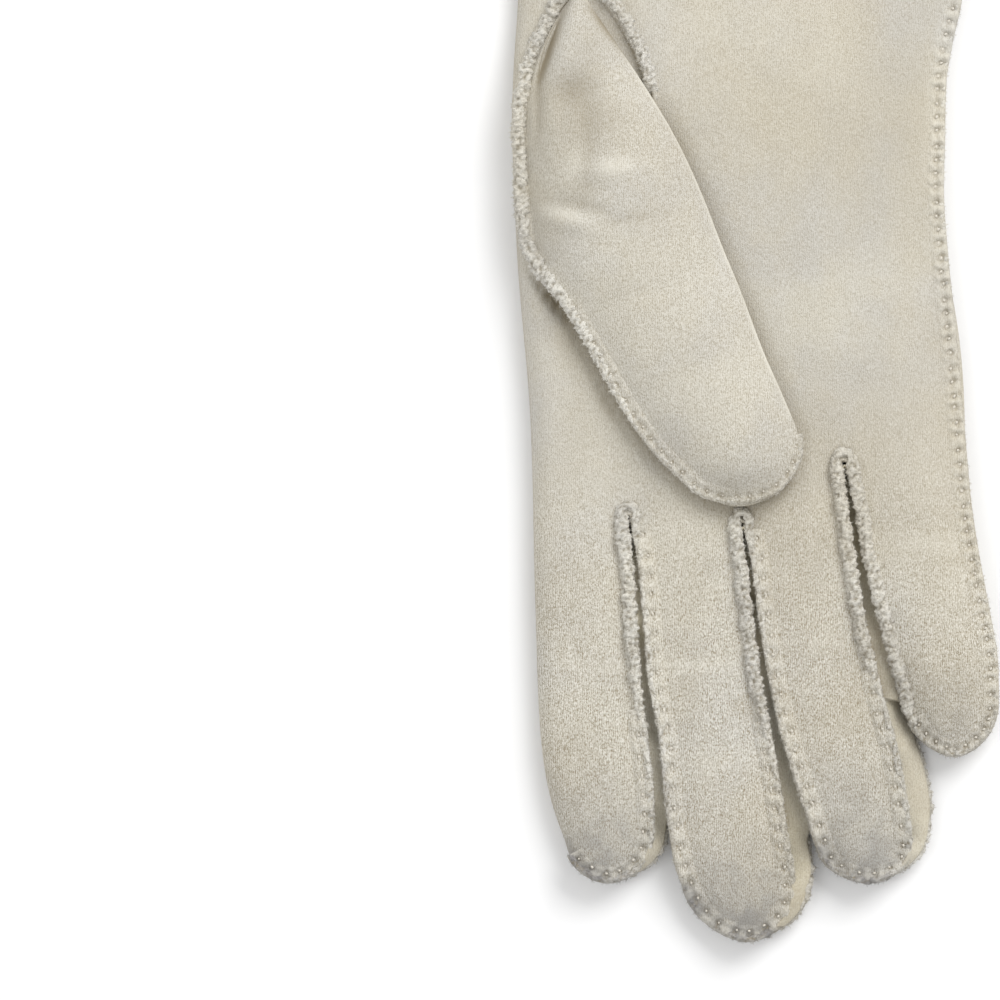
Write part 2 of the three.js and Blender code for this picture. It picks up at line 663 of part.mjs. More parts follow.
/** The hand of the trank, from the cuff to the slots. Returns its last row of spots. */
function addHand(cloth) {
  const columns = handColumns();
  const [first, last] = [columns[0].x, columns[columns.length - 1].x];
  const shares = columns.map((column) => (column.x - first) / (last - first));
  const rows = [];
  addCuffRows(cloth, rows, shares);
  const crotch = addHoleRows(cloth, rows, shares);
  addLowerRows(cloth, rows, shares, columns, crotch);
  rows.slice(1).forEach((row, i) => cloth.strip(rows[i].loop, row.loop));
  return rows[rows.length - 1];
}

/** The top of the palm's welt where a slot begins, left or right of it, with its foot set to its height. */
function slotWelt(cloth, foot, side) {
  const { outer } = cloth.spots[foot];
  outer.setZ(SEAM_Z + halfOpening(0));
  const inner = new THREE.Vector3(outer.x - side * CLOTH, outer.y - CLOTH, outer.z - CLOTH);
  cloth.spots[foot].inner = inner;
  const top = outer.z + WELT_HEIGHT;
  return cloth.spot(outer.clone().setZ(top), inner.clone().setZ(top));
}

/** The raw corner of the back where a slot begins, left or right of it. */
function slotBackCorner(cloth, slot, side) {
  const corner = flat(slot.x + side * HALF_SLOT, slot.y - CLOTH);
  const z = SEAM_Z - halfOpening(0);
  return cloth.spot(lift(corner, z), lift(corner, z + CLOTH));
}

/** One finger of the trank: its two faces, the fold of the index finger, and the sewn edges and end. */
function addFinger(cloth, number, hand, corners) {
  const finger = FINGERS[number];
  const isIndex = finger.name === "index";
  const isLittle = finger.name === "little";
  const start = number * FINGER_COLUMNS;
  const backIds = [...hand.back].reverse();
  const count = isLittle ? FINGER_COLUMNS + 1 : FINGER_COLUMNS;
  const firstRow = (ids, face) => {
    const own = ids.slice(start, start + count);
    if (!isIndex) own.unshift(corners[number - 1][face].right);
    if (!isLittle) own.push(corners[number][face].left);
    return own;
  };
  const palmRows = fingerRows(number, 1);
  const backRows = fingerRows(number, -1);
  const rows = palmRows.map((row, i) => {
    if (i === 0) return { palm: firstRow(hand.palm, "palm"), back: firstRow(backIds, "back"), fold: hand.fold };
    const palm = fingerRowSpots(cloth, number, i, row, 1);
    const back = fingerRowSpots(cloth, number, i, backRows[i], -1);
    if (!isIndex) return { palm, back, fold: [] };
    const crownOf = (id) => ({ outer: cloth.spots[id].outer, inner: cloth.spots[id].inner });
    const inset = insetRow(row, flat(finger.tipX, finger.tipY));
    const foldZ = mix(FOLD_Z, SEAM_Z - TIP_DROP, Math.sin(row.turn));
    const innerEdge = row.turn > 0 ? inset.left : null;
    const fold = foldSpots(cloth, row.left, crownOf(back[0]), crownOf(palm[0]), foldZ, CLOTH, innerEdge);
    return { palm, back, fold };
  });
  rows.slice(1).forEach((row, i) => {
    const above = rows[i];
    const ends = { left: isSewn(finger, i, "left"), right: isSewn(finger, i, "right") };
    const last = row.palm.length - 1;
    cloth.strip(above.palm, row.palm);
    cloth.strip([...above.back].reverse(), [...row.back].reverse());
    if (ends.right) cloth.strip([above.palm[last], above.back[last]], [row.palm[last], row.back[last]]);
    if (isIndex) {
      cloth.strip([above.back[0], ...above.fold, above.palm[0]], [row.back[0], ...row.fold, row.palm[0]]);
    } else if (ends.left) {
      cloth.strip([above.back[0], above.palm[0]], [row.back[0], row.palm[0]]);
    }
  });
  const end = rows[rows.length - 1];
  cloth.strip(end.palm, end.back);
  if (isIndex) {
    const [backLow, backHigh, edge, palmLow, palmHigh] = end.fold;
    cloth.strip([palmLow, palmHigh, end.palm[0]], [backHigh, backLow, end.back[0]]);
    cloth.cells.push([edge, backHigh, palmLow]);
  }
}

/** The trank: palm, back, cuff and the faces of the fingers, in one piece of cloth. */
function makeTrank() {
  const cloth = new Cloth();
  const hand = addHand(cloth);
  const backIds = [...hand.back].reverse();
  const corners = SLOTS.map((slot, i) => {
    const after = (i + 1) * FINGER_COLUMNS;
    const before = after - 1;
    const palmLeft = slotWelt(cloth, hand.palm[before], -1);
    const palmRight = slotWelt(cloth, hand.palm[after], 1);
    const backLeft = slotBackCorner(cloth, slot, -1);
    const backRight = slotBackCorner(cloth, slot, 1);
    cloth.strip([hand.palm[before], hand.palm[after]], [palmLeft, palmRight]);
    cloth.strip([backIds[after], backIds[before]], [backRight, backLeft]);
    return { palm: { left: palmLeft, right: palmRight }, back: { left: backLeft, right: backRight } };
  });
  FINGERS.forEach((_, number) => addFinger(cloth, number, hand, corners));
  return cloth.geometry();
}

/** The stations of a strip along one finger's side, from the end of the slot to where the finger is sewn shut. */
function stripStations(number, side) {
  const palm = fingerRows(number, 1);
  const back = fingerRows(number, -1);
  const into = side === "left" ? 1 : -1;
  const reach = SLIT_END / (palm[0][side].y - palm[1][side].y);
  const bend = palm[0][side].clone().lerp(palm[1][side], reach);
  const along = palm.slice(1, FINGERS[number].rows.length - 1).map((row, i) => {
    return { palm: row[side], back: back[i + 1][side], share: row.share, inward: flat(into * CLOTH, 0) };
  });
  return [{ palm: bend, back: bend, share: 0, inward: flat(into * BEND_INSET, CLOTH), atBend: true }, ...along];
}

/** The strip of cloth between two fingers: up the side of one, round the end of the slot and down the other. */
function makeStrip(number) {
  const cloth = new Cloth();
  const stations = [...stripStations(number, "right").reverse(), ...stripStations(number + 1, "left")];
  const columns = stations.map(({ palm, back, share, inward, atBend = false }) => {
    const top = SEAM_Z + halfOpening(share);
    const shoulder = top - CLOTH - STRIP_SHOULDER;
    const bottom = SEAM_Z - halfOpening(share) + CLOTH + STRIP_CLEARANCE;
    const foot = flat(back.x + Math.sign(inward.x) * STRIP_FOOT, back.y);
    const spot = (place, z, level) => {
      const inner = lift(place.clone().add(inward), z);
      return cloth.spot(lift(place, z), level ? inner : null);
    };
    return [
      spot(palm, top + WELT_HEIGHT, true),
      spot(palm, shoulder, atBend),
      spot(palm.clone().lerp(foot, 0.5), mix(shoulder, bottom, 0.5), atBend),
      spot(foot, bottom, true),
    ];
  });
  for (let level = 0; level < 3; level += 1) {
    cloth.strip(columns.map((column) => column[level]), columns.map((column) => column[level + 1]));
  }
  return cloth.geometry();
}

/** The height that the thumb lies on. */
function thumbBed(place) {
  return palmTop(place) + THUMB_CLEARANCE;
}

/** The outline of each row of the thumb, from just below the top of its hole to its tip. */
function thumbRows() {
  const beside = THUMB_FOLD_ROWS.map(({ foldX, foldY, height }, i) => {
    const hole = i + 1;
    const left = holeSeams(hole).outer;
    if (hole === CROTCH) left.addScaledVector(CROTCH_AWAY, -SEAM_GAP);
    return { left, right: flat(foldX, foldY), height, share: 0, turn: 0, hole };
  });
  const sewn = THUMB_SEWN_ROWS.map(({ seamX, seamY, foldX, foldY }) => {
    return { left: flat(seamX, seamY), right: flat(foldX, foldY), share: 0, turn: 0 };
  });
  const rows = tubeRows([...beside, ...sewn], flat(THUMB_TIP.x, THUMB_TIP.y));
  return rows.map((row) => ({ height: 1, hole: CROTCH, ...row }));
}

/** The outer edge of a row of the thumb: a welt beside the hole, or the sewn edges of its upper and lower side. */
function thumbEdge(cloth, row, inset, seamZ) {
  if (row.hole < CROTCH) {
    const towards = holeAway(row.hole, "outer").negate();
    const welt = holeWelt(cloth, row.left, towards, HOLE_EDGE_Z, WELT_HEIGHT);
    return { upper: [welt.lip, welt.base], lower: [], start: welt.crown.outer };
  }
  const upper = sewnBorder(row, inset, "left", seamZ, 1);
  const lower = sewnBorder(row, inset, "left", seamZ, -1);
  return {
    upper: [cloth.spot(...upper.raw), cloth.spot(...upper.seam)],
    lower: [cloth.spot(...lower.seam), cloth.spot(...lower.raw)],
    start: upper.seam[0],
  };
}

/** The thumb's underside beside the hole, from the fold to the seam on the palm side. */
function thumbHoleUnderside(cloth, row) {
  const seam = holeSeams(row.hole).palm;
  const towards = holeAway(row.hole, "palm").negate();
  if (row.hole > LAST_TURN_ROW) {
    const end = seam.clone().addScaledVector(towards, SEAM_GAP / 2);
    return [...THUMB_HOLE_UNDER_COLUMNS, 1].map((share) => {
      const place = row.right.clone().lerp(end, share);
      return cloth.spot(lift(place, thumbBed(place)));
    });
  }
  const seen = row.hole <= LAST_SEEN_ROW;
  const turn = (seen ? row.right : seam).clone().addScaledVector(towards, seen ? CLOTH / 2 : TURN_REACH);
  const under = THUMB_HOLE_UNDER_COLUMNS.map((share) => {
    const place = row.right.clone().lerp(turn, share);
    return cloth.spot(lift(place, thumbBed(place)));
  });
  const turnZ = mix(palmTop(turn), thumbBed(turn), 0.5);
  const turnInner = turn.clone().addScaledVector(towards, CLOTH);
  const welt = holeWelt(cloth, seam, towards, palmTop(seam), HOLE_ROWS[row.hole].welt);
  const valley = turn.clone().lerp(flat(welt.crown.outer.x, welt.crown.outer.y), 0.5);
  const valleyInner = valley.clone().addScaledVector(towards, CLOTH / 2);
  return [
    ...under,
    cloth.spot(lift(turn, turnZ), lift(turnInner, turnZ)),
    cloth.spot(lift(valley, palmTop(valley)), lift(valleyInner, palmTop(valley) - CLOTH)),
    welt.base,
    welt.lip,
  ];
}

/** The spots of one row of the thumb: over its top from the outer edge to the fold, and back below it. */
function thumbRowSpots(cloth, row) {
  const inset = insetRow(row, flat(THUMB_TIP.x, THUMB_TIP.y));
  const narrow = Math.cos(row.turn);
  const seamZ = thumbBed(row.left) + THUMB_SEAM_Z;
  const bedZ = (place) => mix(seamZ - HALF_SEAM, thumbBed(place), narrow);
  const foldZ = mix(seamZ, thumbBed(row.right) + THUMB_FOLD_Z * row.height, narrow);
  const edge = thumbEdge(cloth, row, inset, seamZ);
  const peak = mix(edge.start.z, thumbBed(row.right) + THUMB_HEIGHT * row.height, narrow);
  const spot = (place, z, share, face) => {
    if (row.turn === 0) return cloth.spot(lift(place, z));
    const depth = Math.max((z - seamZ) * face - CLOTH, THINNEST_HOLLOW);
    return cloth.spot(lift(place, z), lift(inset.left.clone().lerp(inset.right, share), seamZ + face * depth));
  };
  const upper = THUMB_COLUMNS.map((share) => {
    const place = flat(edge.start.x, edge.start.y).lerp(row.right, share);
    const dents = THUMB_DENTS.reduce((sum, dent) => sum + swell(place, dent), 0);
    const rise = Math.sin(Math.PI * share) ** THUMB_FULLNESS;
    return spot(place, mix(share < 0.5 ? edge.start.z : foldZ, peak, rise) + dents, share, 1);
  });
  const pulled = row.right.clone().add(row.left.clone().sub(row.right).setLength(UNDERTURN.reach));
  const pulledZ = mix(bedZ(pulled), foldZ, UNDERTURN.rise);
  const fold = [spot(row.right, foldZ, 1, 1), spot(pulled, pulledZ, UNDERTURN.share, -1)];
  const under = row.hole < CROTCH
    ? thumbHoleUnderside(cloth, row)
    : THUMB_SEWN_UNDER_COLUMNS.map((share) => {
      const place = row.left.clone().lerp(row.right, share);
      return spot(place, bedZ(place), share, -1);
    });
  return [...edge.upper, ...upper, ...fold, ...under, ...edge.lower];
}

/** The thumb: a flat tube with one folded and one sewn edge, open below where it is sewn into its hole. */
function makeThumb() {
  const cloth = new Cloth();
  const seam = holeSeams(0).palm;
  const top = holeWelt(cloth, seam, holeAway(0, "palm").negate(), palmTop(seam), WELT_HEIGHT);
  const rows = thumbRows().map((row) => thumbRowSpots(cloth, row));
  const first = rows[0];
  cloth.strip([top.lip, top.base], first.slice(0, 2));
  cloth.fan(top.base, first.slice(1, -1));
  cloth.strip([top.base, top.lip], first.slice(-2));
  rows.slice(1).forEach((row, i) => {
    const above = rows[i];
    const shared = Math.min(above.length, row.length);
    cloth.strip(above.slice(0, shared), row.slice(0, shared));
    if (i + 1 >= CROTCH) cloth.strip([above[above.length - 1], above[0]], [row[row.length - 1], row[0]]);
  });
  const end = rows[rows.length - 1];
  const overFold = THUMB_COLUMNS.length + 2;
  const upper = end.slice(0, overFold);
  const lower = end.slice(overFold + 1).reverse();
  cloth.strip(upper, lower);
  cloth.cells.push([upper[overFold - 1], lower[overFold - 1], end[overFold]]);
  return cloth.geometry();
}

/** One named piece of the glove in its own cloth. */
function makePiece(name, geometry, color) {
  const material = new THREE.MeshStandardMaterial({ color, roughness: 0.95, metalness: 0 });
  const piece = new THREE.Mesh(geometry, material);
  piece.name = name;
  return piece;
}

const glove = new THREE.Group();
glove.add(makePiece("trank", makeTrank(), 0xdcd5c2));
glove.add(makePiece("thumb", makeThumb(), 0xdad3c0));
STRIP_NAMES.forEach((name, number) => glove.add(makePiece(name, makeStrip(number), 0xd6cdb2)));

export default glove;
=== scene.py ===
"""A dress glove of suede-finished cotton, sewn with its raw edges standing outside, laid palm up.

The glove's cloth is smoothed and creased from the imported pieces. On it lie the frayed raw edges of its
seams, the puckered cloth beside them with its stitches, the strips between the fingers, the hem's stitches
and one loose thread.
"""

import logging
import math
import random
import time
from dataclasses import dataclass, field
from enum import Enum
from typing import Callable, Iterable, Sequence

import bmesh
import bpy
import numpy as np
from mathutils import Matrix, Vector, noise
from mathutils.bvhtree import BVHTree


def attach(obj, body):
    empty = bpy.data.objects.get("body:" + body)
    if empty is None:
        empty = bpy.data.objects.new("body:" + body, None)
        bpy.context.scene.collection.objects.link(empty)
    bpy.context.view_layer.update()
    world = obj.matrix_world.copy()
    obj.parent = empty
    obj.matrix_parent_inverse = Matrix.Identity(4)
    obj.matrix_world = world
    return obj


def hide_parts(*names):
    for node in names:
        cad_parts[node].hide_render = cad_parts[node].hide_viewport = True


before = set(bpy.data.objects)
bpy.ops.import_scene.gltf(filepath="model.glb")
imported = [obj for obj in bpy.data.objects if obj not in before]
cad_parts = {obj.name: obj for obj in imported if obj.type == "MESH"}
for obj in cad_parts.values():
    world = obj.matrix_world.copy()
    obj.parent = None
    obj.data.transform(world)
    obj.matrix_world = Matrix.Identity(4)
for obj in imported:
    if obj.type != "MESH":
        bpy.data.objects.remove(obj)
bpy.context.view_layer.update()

log = logging.getLogger("glove")
started = time.perf_counter()

MM = 0.001
# The distance between the stations of a line, and how pointed the ends of the fingers are
STEP = 0.24
TIP_POINT = 1.2
# The height of the strips' seams, half their opening at the fingertips, and how much it grows up the slots
SEAM_Z = 4.2
HALF_SEAM = 1.1
OPEN_SEAM = 2.6
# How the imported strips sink: from where, over what length, by what share, and towards what height
SUNK_FROM, SUNK_OVER, SUNK_SHARE, SUNK_TO = -58, 22, 0.55, 1.9
Colour = tuple[float, float, float]
Point = tuple[float, ...]


class Face(Enum):
    """The two faces of the glove, by the way that they look."""

    PALM = 1
    BACK = -1


class Weave(Enum):
    """How a cloth's threads run: down the glove, or every way, as where they are frayed."""

    STRAIGHT = "straight"
    FRAYED = "frayed"


# Shader maths


class Signal:
    """A shader socket that Python's operators combine through Math nodes."""

    def __init__(self, shader: "Shader", socket: bpy.types.NodeSocket) -> None:
        """Keeps the socket and the shader that it belongs to."""
        self.shader = shader
        self.socket = socket

    def _math(self, operation: str, *values: "Signal | float") -> "Signal":
        """Adds a Math node.

        Args:
            operation: the node's operation.
            values: its inputs.

        Returns:
            Its result.
        """
        return self.shader.node("ShaderNodeMath", {"operation": operation}, dict(enumerate(values)))

    def __add__(self, other: "Signal | float") -> "Signal":
        """The sum."""
        return self._math("ADD", self, other)

    def __sub__(self, other: "Signal | float") -> "Signal":
        """The difference."""
        return self._math("SUBTRACT", self, other)

    def __rsub__(self, other: float) -> "Signal":
        """A number less this signal."""
        return self._math("SUBTRACT", other, self)

    def __mul__(self, other: "Signal | float") -> "Signal":
        """The product."""
        return self._math("MULTIPLY", self, other)

    def sine(self) -> "Signal":
        """The sine of the signal, in radians."""
        return self._math("SINE", self)

    def ramp(self, low: float, high: float) -> "Signal":
        """Maps the range from low to high smoothly onto 0 to 1.

        Args:
            low: the value that gives 0.
            high: the value that gives 1.

        Returns:
            The mapped signal.
        """
        settings = {"interpolation_type": "SMOOTHSTEP"}
        inputs = {"Value": self, "From Min": low, "From Max": high}
        return self.shader.node("ShaderNodeMapRange", settings, inputs)

    __radd__ = __add__
    __rmul__ = __mul__


class Shader:
    """A material under construction, with its object coordinates in millimetres."""

    def __init__(self, name: str) -> None:
        """Makes an empty node material with that name."""
        self.material = bpy.data.materials.new(name)
        self.material.use_nodes = True
        self.tree = self.material.node_tree
        self.tree.nodes.clear()
        raw = self.node("ShaderNodeTexCoord", {}, {}, "Object")
        self.place = self.node("ShaderNodeVectorMath", {"operation": "SCALE"}, {0: raw, "Scale": 1 / MM})
        axes = (self.node("ShaderNodeSeparateXYZ", {}, {0: self.place}, axis) for axis in "XYZ")
        self.x, self.y, self.z = axes

    def node(self, kind: str, settings: dict, inputs: dict, output: int | str = 0) -> Signal:
        """Adds a node.

        Args:
            kind: the node's type.
            settings: its own properties.
            inputs: values or signals by socket name or number.
            output: the output that is wanted, by name or number.

        Returns:
            That output.
        """
        made = self.tree.nodes.new(kind)
        for key, value in settings.items():
            setattr(made, key, value)
        for key, value in inputs.items():
            socket = made.inputs[key]
            if isinstance(value, Signal):
                self.tree.links.new(value.socket, socket)
            else:
                socket.default_value = value
        return Signal(self, made.outputs[output])

    def mix(self, share: Signal, first: Signal | Colour, second: Signal | Colour) -> Signal:
        """Mixes two colours.

        Args:
            share: how much of the second colour.
            first: the first colour.
            second: the second colour.

        Returns:
            The mixed colour.
        """
        first, second = (value if isinstance(value, Signal) else (*value, 1.0) for value in (first, second))
        return self.node("ShaderNodeMix", {"data_type": "RGBA"}, {0: share, 6: first, 7: second}, 2)

    def stretched(self, x: float, y: float, z: float) -> Signal:
        """The object coordinates multiplied by three numbers."""
        settings = {"operation": "MULTIPLY"}
        return self.node("ShaderNodeVectorMath", settings, {0: self.place, 1: (x, y, z)})

    def noise(self, size: float, detail: float = 2.0, place: Signal | None = None) -> Signal:
        """Noise from 0 to 1 whose lumps have about the given size in millimetres."""
        inputs = {"Vector": place or self.place, "Scale": 1 / size, "Detail": detail}
        return self.node("ShaderNodeTexNoise", {}, inputs, 0)

    def attribute(self, name: str) -> Signal:
        """A number that the mesh holds at each of its points."""
        return self.node("ShaderNodeAttribute", {"attribute_name": name}, {}, "Fac")

    def bump(self, height: Signal, strength: float) -> Signal:
        """Turns a height in millimetres into a normal."""
        return self.node("ShaderNodeBump", {}, {"Strength": strength, "Distance": MM, "Height": height})

    def finish(self, **inputs: Signal | float) -> bpy.types.Material:
        """Ends the material with a principled shader.

        Args:
            inputs: its sockets, with underscores for spaces.

        Returns:
            The finished material.
        """
        values = {key.replace("_", " "): value for key, value in inputs.items()}
        body = self.node("ShaderNodeBsdfPrincipled", {}, values)
        output = self.tree.nodes.new("ShaderNodeOutputMaterial")
        self.tree.links.new(body.socket, output.inputs["Surface"])
        return self.material


@dataclass(frozen=True)
class ClothFinish:
    """Napped cotton: its colours, its weave and how much its surface stands out."""

    name: str
    cream: Colour
    grey: Colour
    yellow: Colour
    shade: Colour
    # The colour of soil at the fingers' ends and of the shade painted on their rims
    soil_and_shade: Colour
    # The colour of the painted highlight
    painted_highlight: Colour = (0.76, 0.73, 0.64)
    crown: Colour = (0.84, 0.82, 0.76)
    weave: Weave = Weave.STRAIGHT
    thread: float = 0.36
    contrast: float = 1.0
    relief: float = 0.08
    rough: float = 0.95
    sheen: float = 0.05

    def material(self) -> bpy.types.Material:
        """Builds the material.

        Returns:
            The finished material.
        """
        shader = Shader(self.name)
        patches = shader.noise(22.0, 3.0)
        mottle = shader.noise(4.5, 3.0)
        blotch = shader.noise(11.0, 3.0)
        clouds = shader.noise(34.0, 2.0, shader.stretched(1.0, 0.6, 1.0))
        colour = shader.mix(patches.ramp(0.38, 0.66), self.cream, self.grey)
        colour = shader.mix(clouds.ramp(0.46, 0.66) * 0.6, colour, self.yellow)
        colour = shader.mix(mottle.ramp(0.45, 0.75) * 0.25, colour, self.yellow)
        fingers = 1 - shader.y.ramp(-66.0, -10.0)
        colour = shader.mix(blotch.ramp(0.46, 0.72) * (0.06 + 0.16 * fingers), colour, self.shade)
        colour = shader.mix(shader.noise(30.0, 1.0).ramp(0.38, 0.62) * 0.17, colour, self.shade)
        grain = self._grain(shader)
        coarse = (0.42 + 0.58 * fingers + 0.16 * shader.z.ramp(9.8, 12.0)) * self.contrast
        colour = shader.mix(grain.ramp(0.45, 0.95) * coarse, colour, self.shade)
        colour = shader.mix((1 - grain.ramp(0.05, 0.55)) * coarse * 0.62, colour, self.crown)
        specks = shader.noise(0.6, 1.0)
        colour = shader.mix(specks.ramp(0.72, 0.78) * 0.35, colour, self.shade)
        # Soil at the fingers' ends, and painted shade on their lower left rims
        soiled_and_shaded = shader.attribute("soil_and_shade") * (0.75 + 0.5 * mottle.ramp(0.4, 0.65))
        colour = shader.mix(soiled_and_shaded * 0.8, colour, self.soil_and_shade)
        # Painted highlight on the thumb's fold, the creases' ridges and the puffs beside the stitches
        colour = shader.mix(shader.attribute("painted_highlight") - shader.attribute("painted_shading"), colour, self.painted_highlight)
        # Painted shade in the recesses and creases, the stitches' pits and the rope's crevices, and a painted
        # shadow under the thumb's rim
        colour = shader.mix(shader.attribute("painted_shading"), colour, self.shade)
        height = (1 - grain) * self.relief + mottle * 0.12
        return shader.finish(
            Base_Color=colour, Roughness=self.rough, Normal=shader.bump(height, 0.9),
            Sheen_Weight=self.sheen, Sheen_Roughness=0.5,
        )

    def _grain(self, shader: Shader) -> Signal:
        """The dark of the weave, from 0 on a thread's crown to 1 between threads.

        Args:
            shader: the material under construction.

        Returns:
            The dark at each place.
        """
        fleck = shader.noise(0.24, 1.0)
        if self.weave is Weave.FRAYED:
            return fleck * 1.1 + shader.noise(0.7, 2.0) * 1.3 - 0.7
        slub = shader.noise(0.27, 1.0, shader.stretched(1.0, 0.55, 1.0))
        waver = shader.noise(2.6, 2.0) * (2.4 * self.thread)
        turn = 2 * math.pi / self.thread
        across = ((shader.x + waver) * turn).sine()
        down = ((shader.y + waver) * (turn * 0.9)).sine()
        return across * 0.14 + across * down * 0.12 + slub * 1.3 + fleck * 1.2 - 0.75


CLOTH = ClothFinish(
    name="napped_cotton",
    cream=(0.555, 0.523, 0.443),
    grey=(0.55, 0.53, 0.48),
    yellow=(0.56, 0.512, 0.405),
    shade=(0.27, 0.225, 0.15),
    soil_and_shade=(0.235, 0.228, 0.22),
)
# The strips' cloth, painted lighter than the glove's: a lit copy that lifts the shade of the slots between
# the fingers
LIT_STRIP_CLOTH = ClothFinish(
    name="napped_cotton_strip_lit",
    cream=(0.63, 0.585, 0.46),
    grey=(0.58, 0.545, 0.45),
    yellow=(0.63, 0.575, 0.41),
    shade=(0.30, 0.235, 0.15),
    soil_and_shade=(0.36, 0.33, 0.29),
    contrast=0.4,
)
FRAYED = ClothFinish(
    name="frayed_edge",
    cream=(0.75, 0.725, 0.65),
    grey=(0.71, 0.69, 0.64),
    yellow=(0.74, 0.695, 0.585),
    shade=(0.25, 0.21, 0.14),
    soil_and_shade=(0.25, 0.24, 0.235),
    weave=Weave.FRAYED,
    contrast=0.8,
    relief=0.3,
    sheen=0.1,
)


@dataclass(frozen=True)
class ThreadFinish:
    """Twisted sewing thread."""

    name: str = "sewing_thread"
    colour: Colour = (0.78, 0.75, 0.68)
    shade: Colour = (0.5, 0.44, 0.33)
    twist: float = 0.2

    def material(self) -> bpy.types.Material:
        """Builds the material.

        Returns:
            The finished material.
        """
        shader = Shader(self.name)
        plies = ((shader.x + shader.y * 0.8 + shader.z * 0.4) * (2 * math.pi / self.twist)).sine() * 0.5 + 0.5
        colour = shader.mix(plies * 0.3 + shader.noise(0.2) * 0.25, self.colour, self.shade)
        return shader.finish(Base_Color=colour, Roughness=0.65, Normal=shader.bump(plies * 0.05, 0.6))


@dataclass(frozen=True)
class FloorFinish:
    """A plain pale matt floor."""

    name: str = "pale_floor"
    colour: Colour = (0.93, 0.93, 0.93)

    def material(self) -> bpy.types.Material:
        """Builds the material.

        Returns:
            The finished material.
        """
        shader = Shader(self.name)
        darker = tuple(0.985 * value for value in self.colour)
        colour = shader.mix(shader.noise(60.0), self.colour, darker)
        return shader.finish(Base_Color=colour, Roughness=0.9)


# The glove's outline, in millimetres


def ease(value: float) -> float:
    """A smooth step from 0 to 1."""
    value = min(max(value, 0.0), 1.0)
    return value * value * (3 - 2 * value)


@dataclass(frozen=True)
class Finger:
    """A finger's palm side: its raw edges from slot to tip, and from where each of them lies flat."""

    name: str
    left: tuple[Point, ...]
    right: tuple[Point, ...]
    tip: Point
    left_flat: float
    right_flat: float

    def edge(self, side: str) -> list[Point]:
        """One raw edge down the finger, with the share by which it stands up at each point."""
        rows, flat_from = getattr(self, side), getattr(self, f"{side}_flat")
        return [(x, y, ease((y - flat_from) / 9.0 + 0.5)) for x, y in rows]

    def end(self, start: float = 0.0, stop: float = 180.0) -> list[Point]:
        """The finger's end from one angle to another, lying flat."""
        arc = rounded_end(self.left[-1], self.right[-1], self.tip, start, stop)
        upright = self.edge("left")[-1][2]
        fade = [ease(1 - turn / 70) * upright for turn in np.linspace(start, stop, len(arc))]
        return [(*place, share) for place, share in zip(arc, fade)]


def rounded_end(
    left: Point, right: Point, tip: Point, start: float, stop: float, steps: int = 16
) -> list[Point]:
    """The rounded end of a flat tube.

    Args:
        left: its left edge where the end begins.
        right: its right edge there.
        tip: its furthest point.
        start: the angle in degrees of the first point, where 0 is at the left edge.
        stop: the angle of the last point, where 180 is at the right edge.
        steps: the number of steps between them.

    Returns:
        The points.
    """
    one, other, end = Vector(left), Vector(right), Vector(tip)
    middle = (one + other) / 2
    points = []
    for turn in np.radians(np.linspace(start, stop, steps + 1)):
        width = math.copysign(abs(math.cos(turn)) ** TIP_POINT, -math.cos(turn))
        points.append(tuple(middle + (end - middle) * math.sin(turn) + (other - one) / 2 * width))
    return points


FINGERS = (
    Finger(
        name="index",
        left=((-43.9, -32.4), (-43.1, -68.4), (-42.5, -81.4), (-40.8, -91.5), (-38.7, -97.6),
              (-37.5, -100.4)),
        right=((-24.9, -37.0), (-23.9, -44.4), (-23.1, -56.4), (-22.3, -68.4), (-20.7, -81.4), (-19.7, -91.5),
               (-19.6, -97.6), (-19.8, -100.4)),
        tip=(-28.8, -108.8),
        left_flat=0.0,
        right_flat=-70.0,
    ),
    Finger(
        name="middle",
        left=((-24.2, -37.0), (-22.9, -44.4), (-21.7, -56.4), (-20.7, -68.4), (-18.5, -80.4), (-17.5, -91.5),
              (-16.7, -97.6), (-15.3, -105.6), (-14.1, -108.8)),
        right=((-2.4, -38.2), (-1.2, -45.4), (0.1, -56.4), (1.7, -68.4), (4.0, -80.4), (5.7, -90.4),
               (6.9, -98.4), (8.2, -105.6), (8.6, -108.8)),
        tip=(-1.0, -120.5),
        left_flat=-37.0,
        right_flat=-78.0,
    ),
    Finger(
        name="ring",
        left=((-1.5, -38.2), (-0.1, -45.4), (1.3, -56.4), (3.3, -68.4), (6.1, -80.4), (9.1, -90.4),
              (11.1, -96.4), (12.0, -99.6), (12.9, -102.0)),
        right=((18.0, -26.6), (19.0, -34.4), (20.9, -47.4), (23.1, -59.6), (25.9, -70.8), (28.9, -82.0),
               (30.9, -92.4), (31.7, -98.6), (31.8, -101.6)),
        tip=(23.3, -108.8),
        left_flat=-38.0,
        right_flat=-64.0,
    ),
    Finger(
        name="little",
        left=((18.8, -26.6), (20.1, -32.4), (22.0, -43.4), (24.5, -53.4), (26.8, -62.4), (28.6, -69.0),
              (29.6, -72.0)),
        right=((42.6, -21.6), (43.7, -33.4), (45.4, -44.4), (47.3, -54.4), (48.8, -63.0), (49.1, -69.2),
               (49.1, -72.0)),
        tip=(40.3, -83.6),
        left_flat=-95.0,
        right_flat=0.0,
    ),
)

# The tops of the slots between the fingers as sewn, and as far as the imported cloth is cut
SLOT_TOPS = ((-24.75, -34.2), (-2.1, -35.6), (18.1, -23.4))
CUT_TOPS = ((-24.8, -32.9), (-2.3, -34.6), (17.9, -20.6))

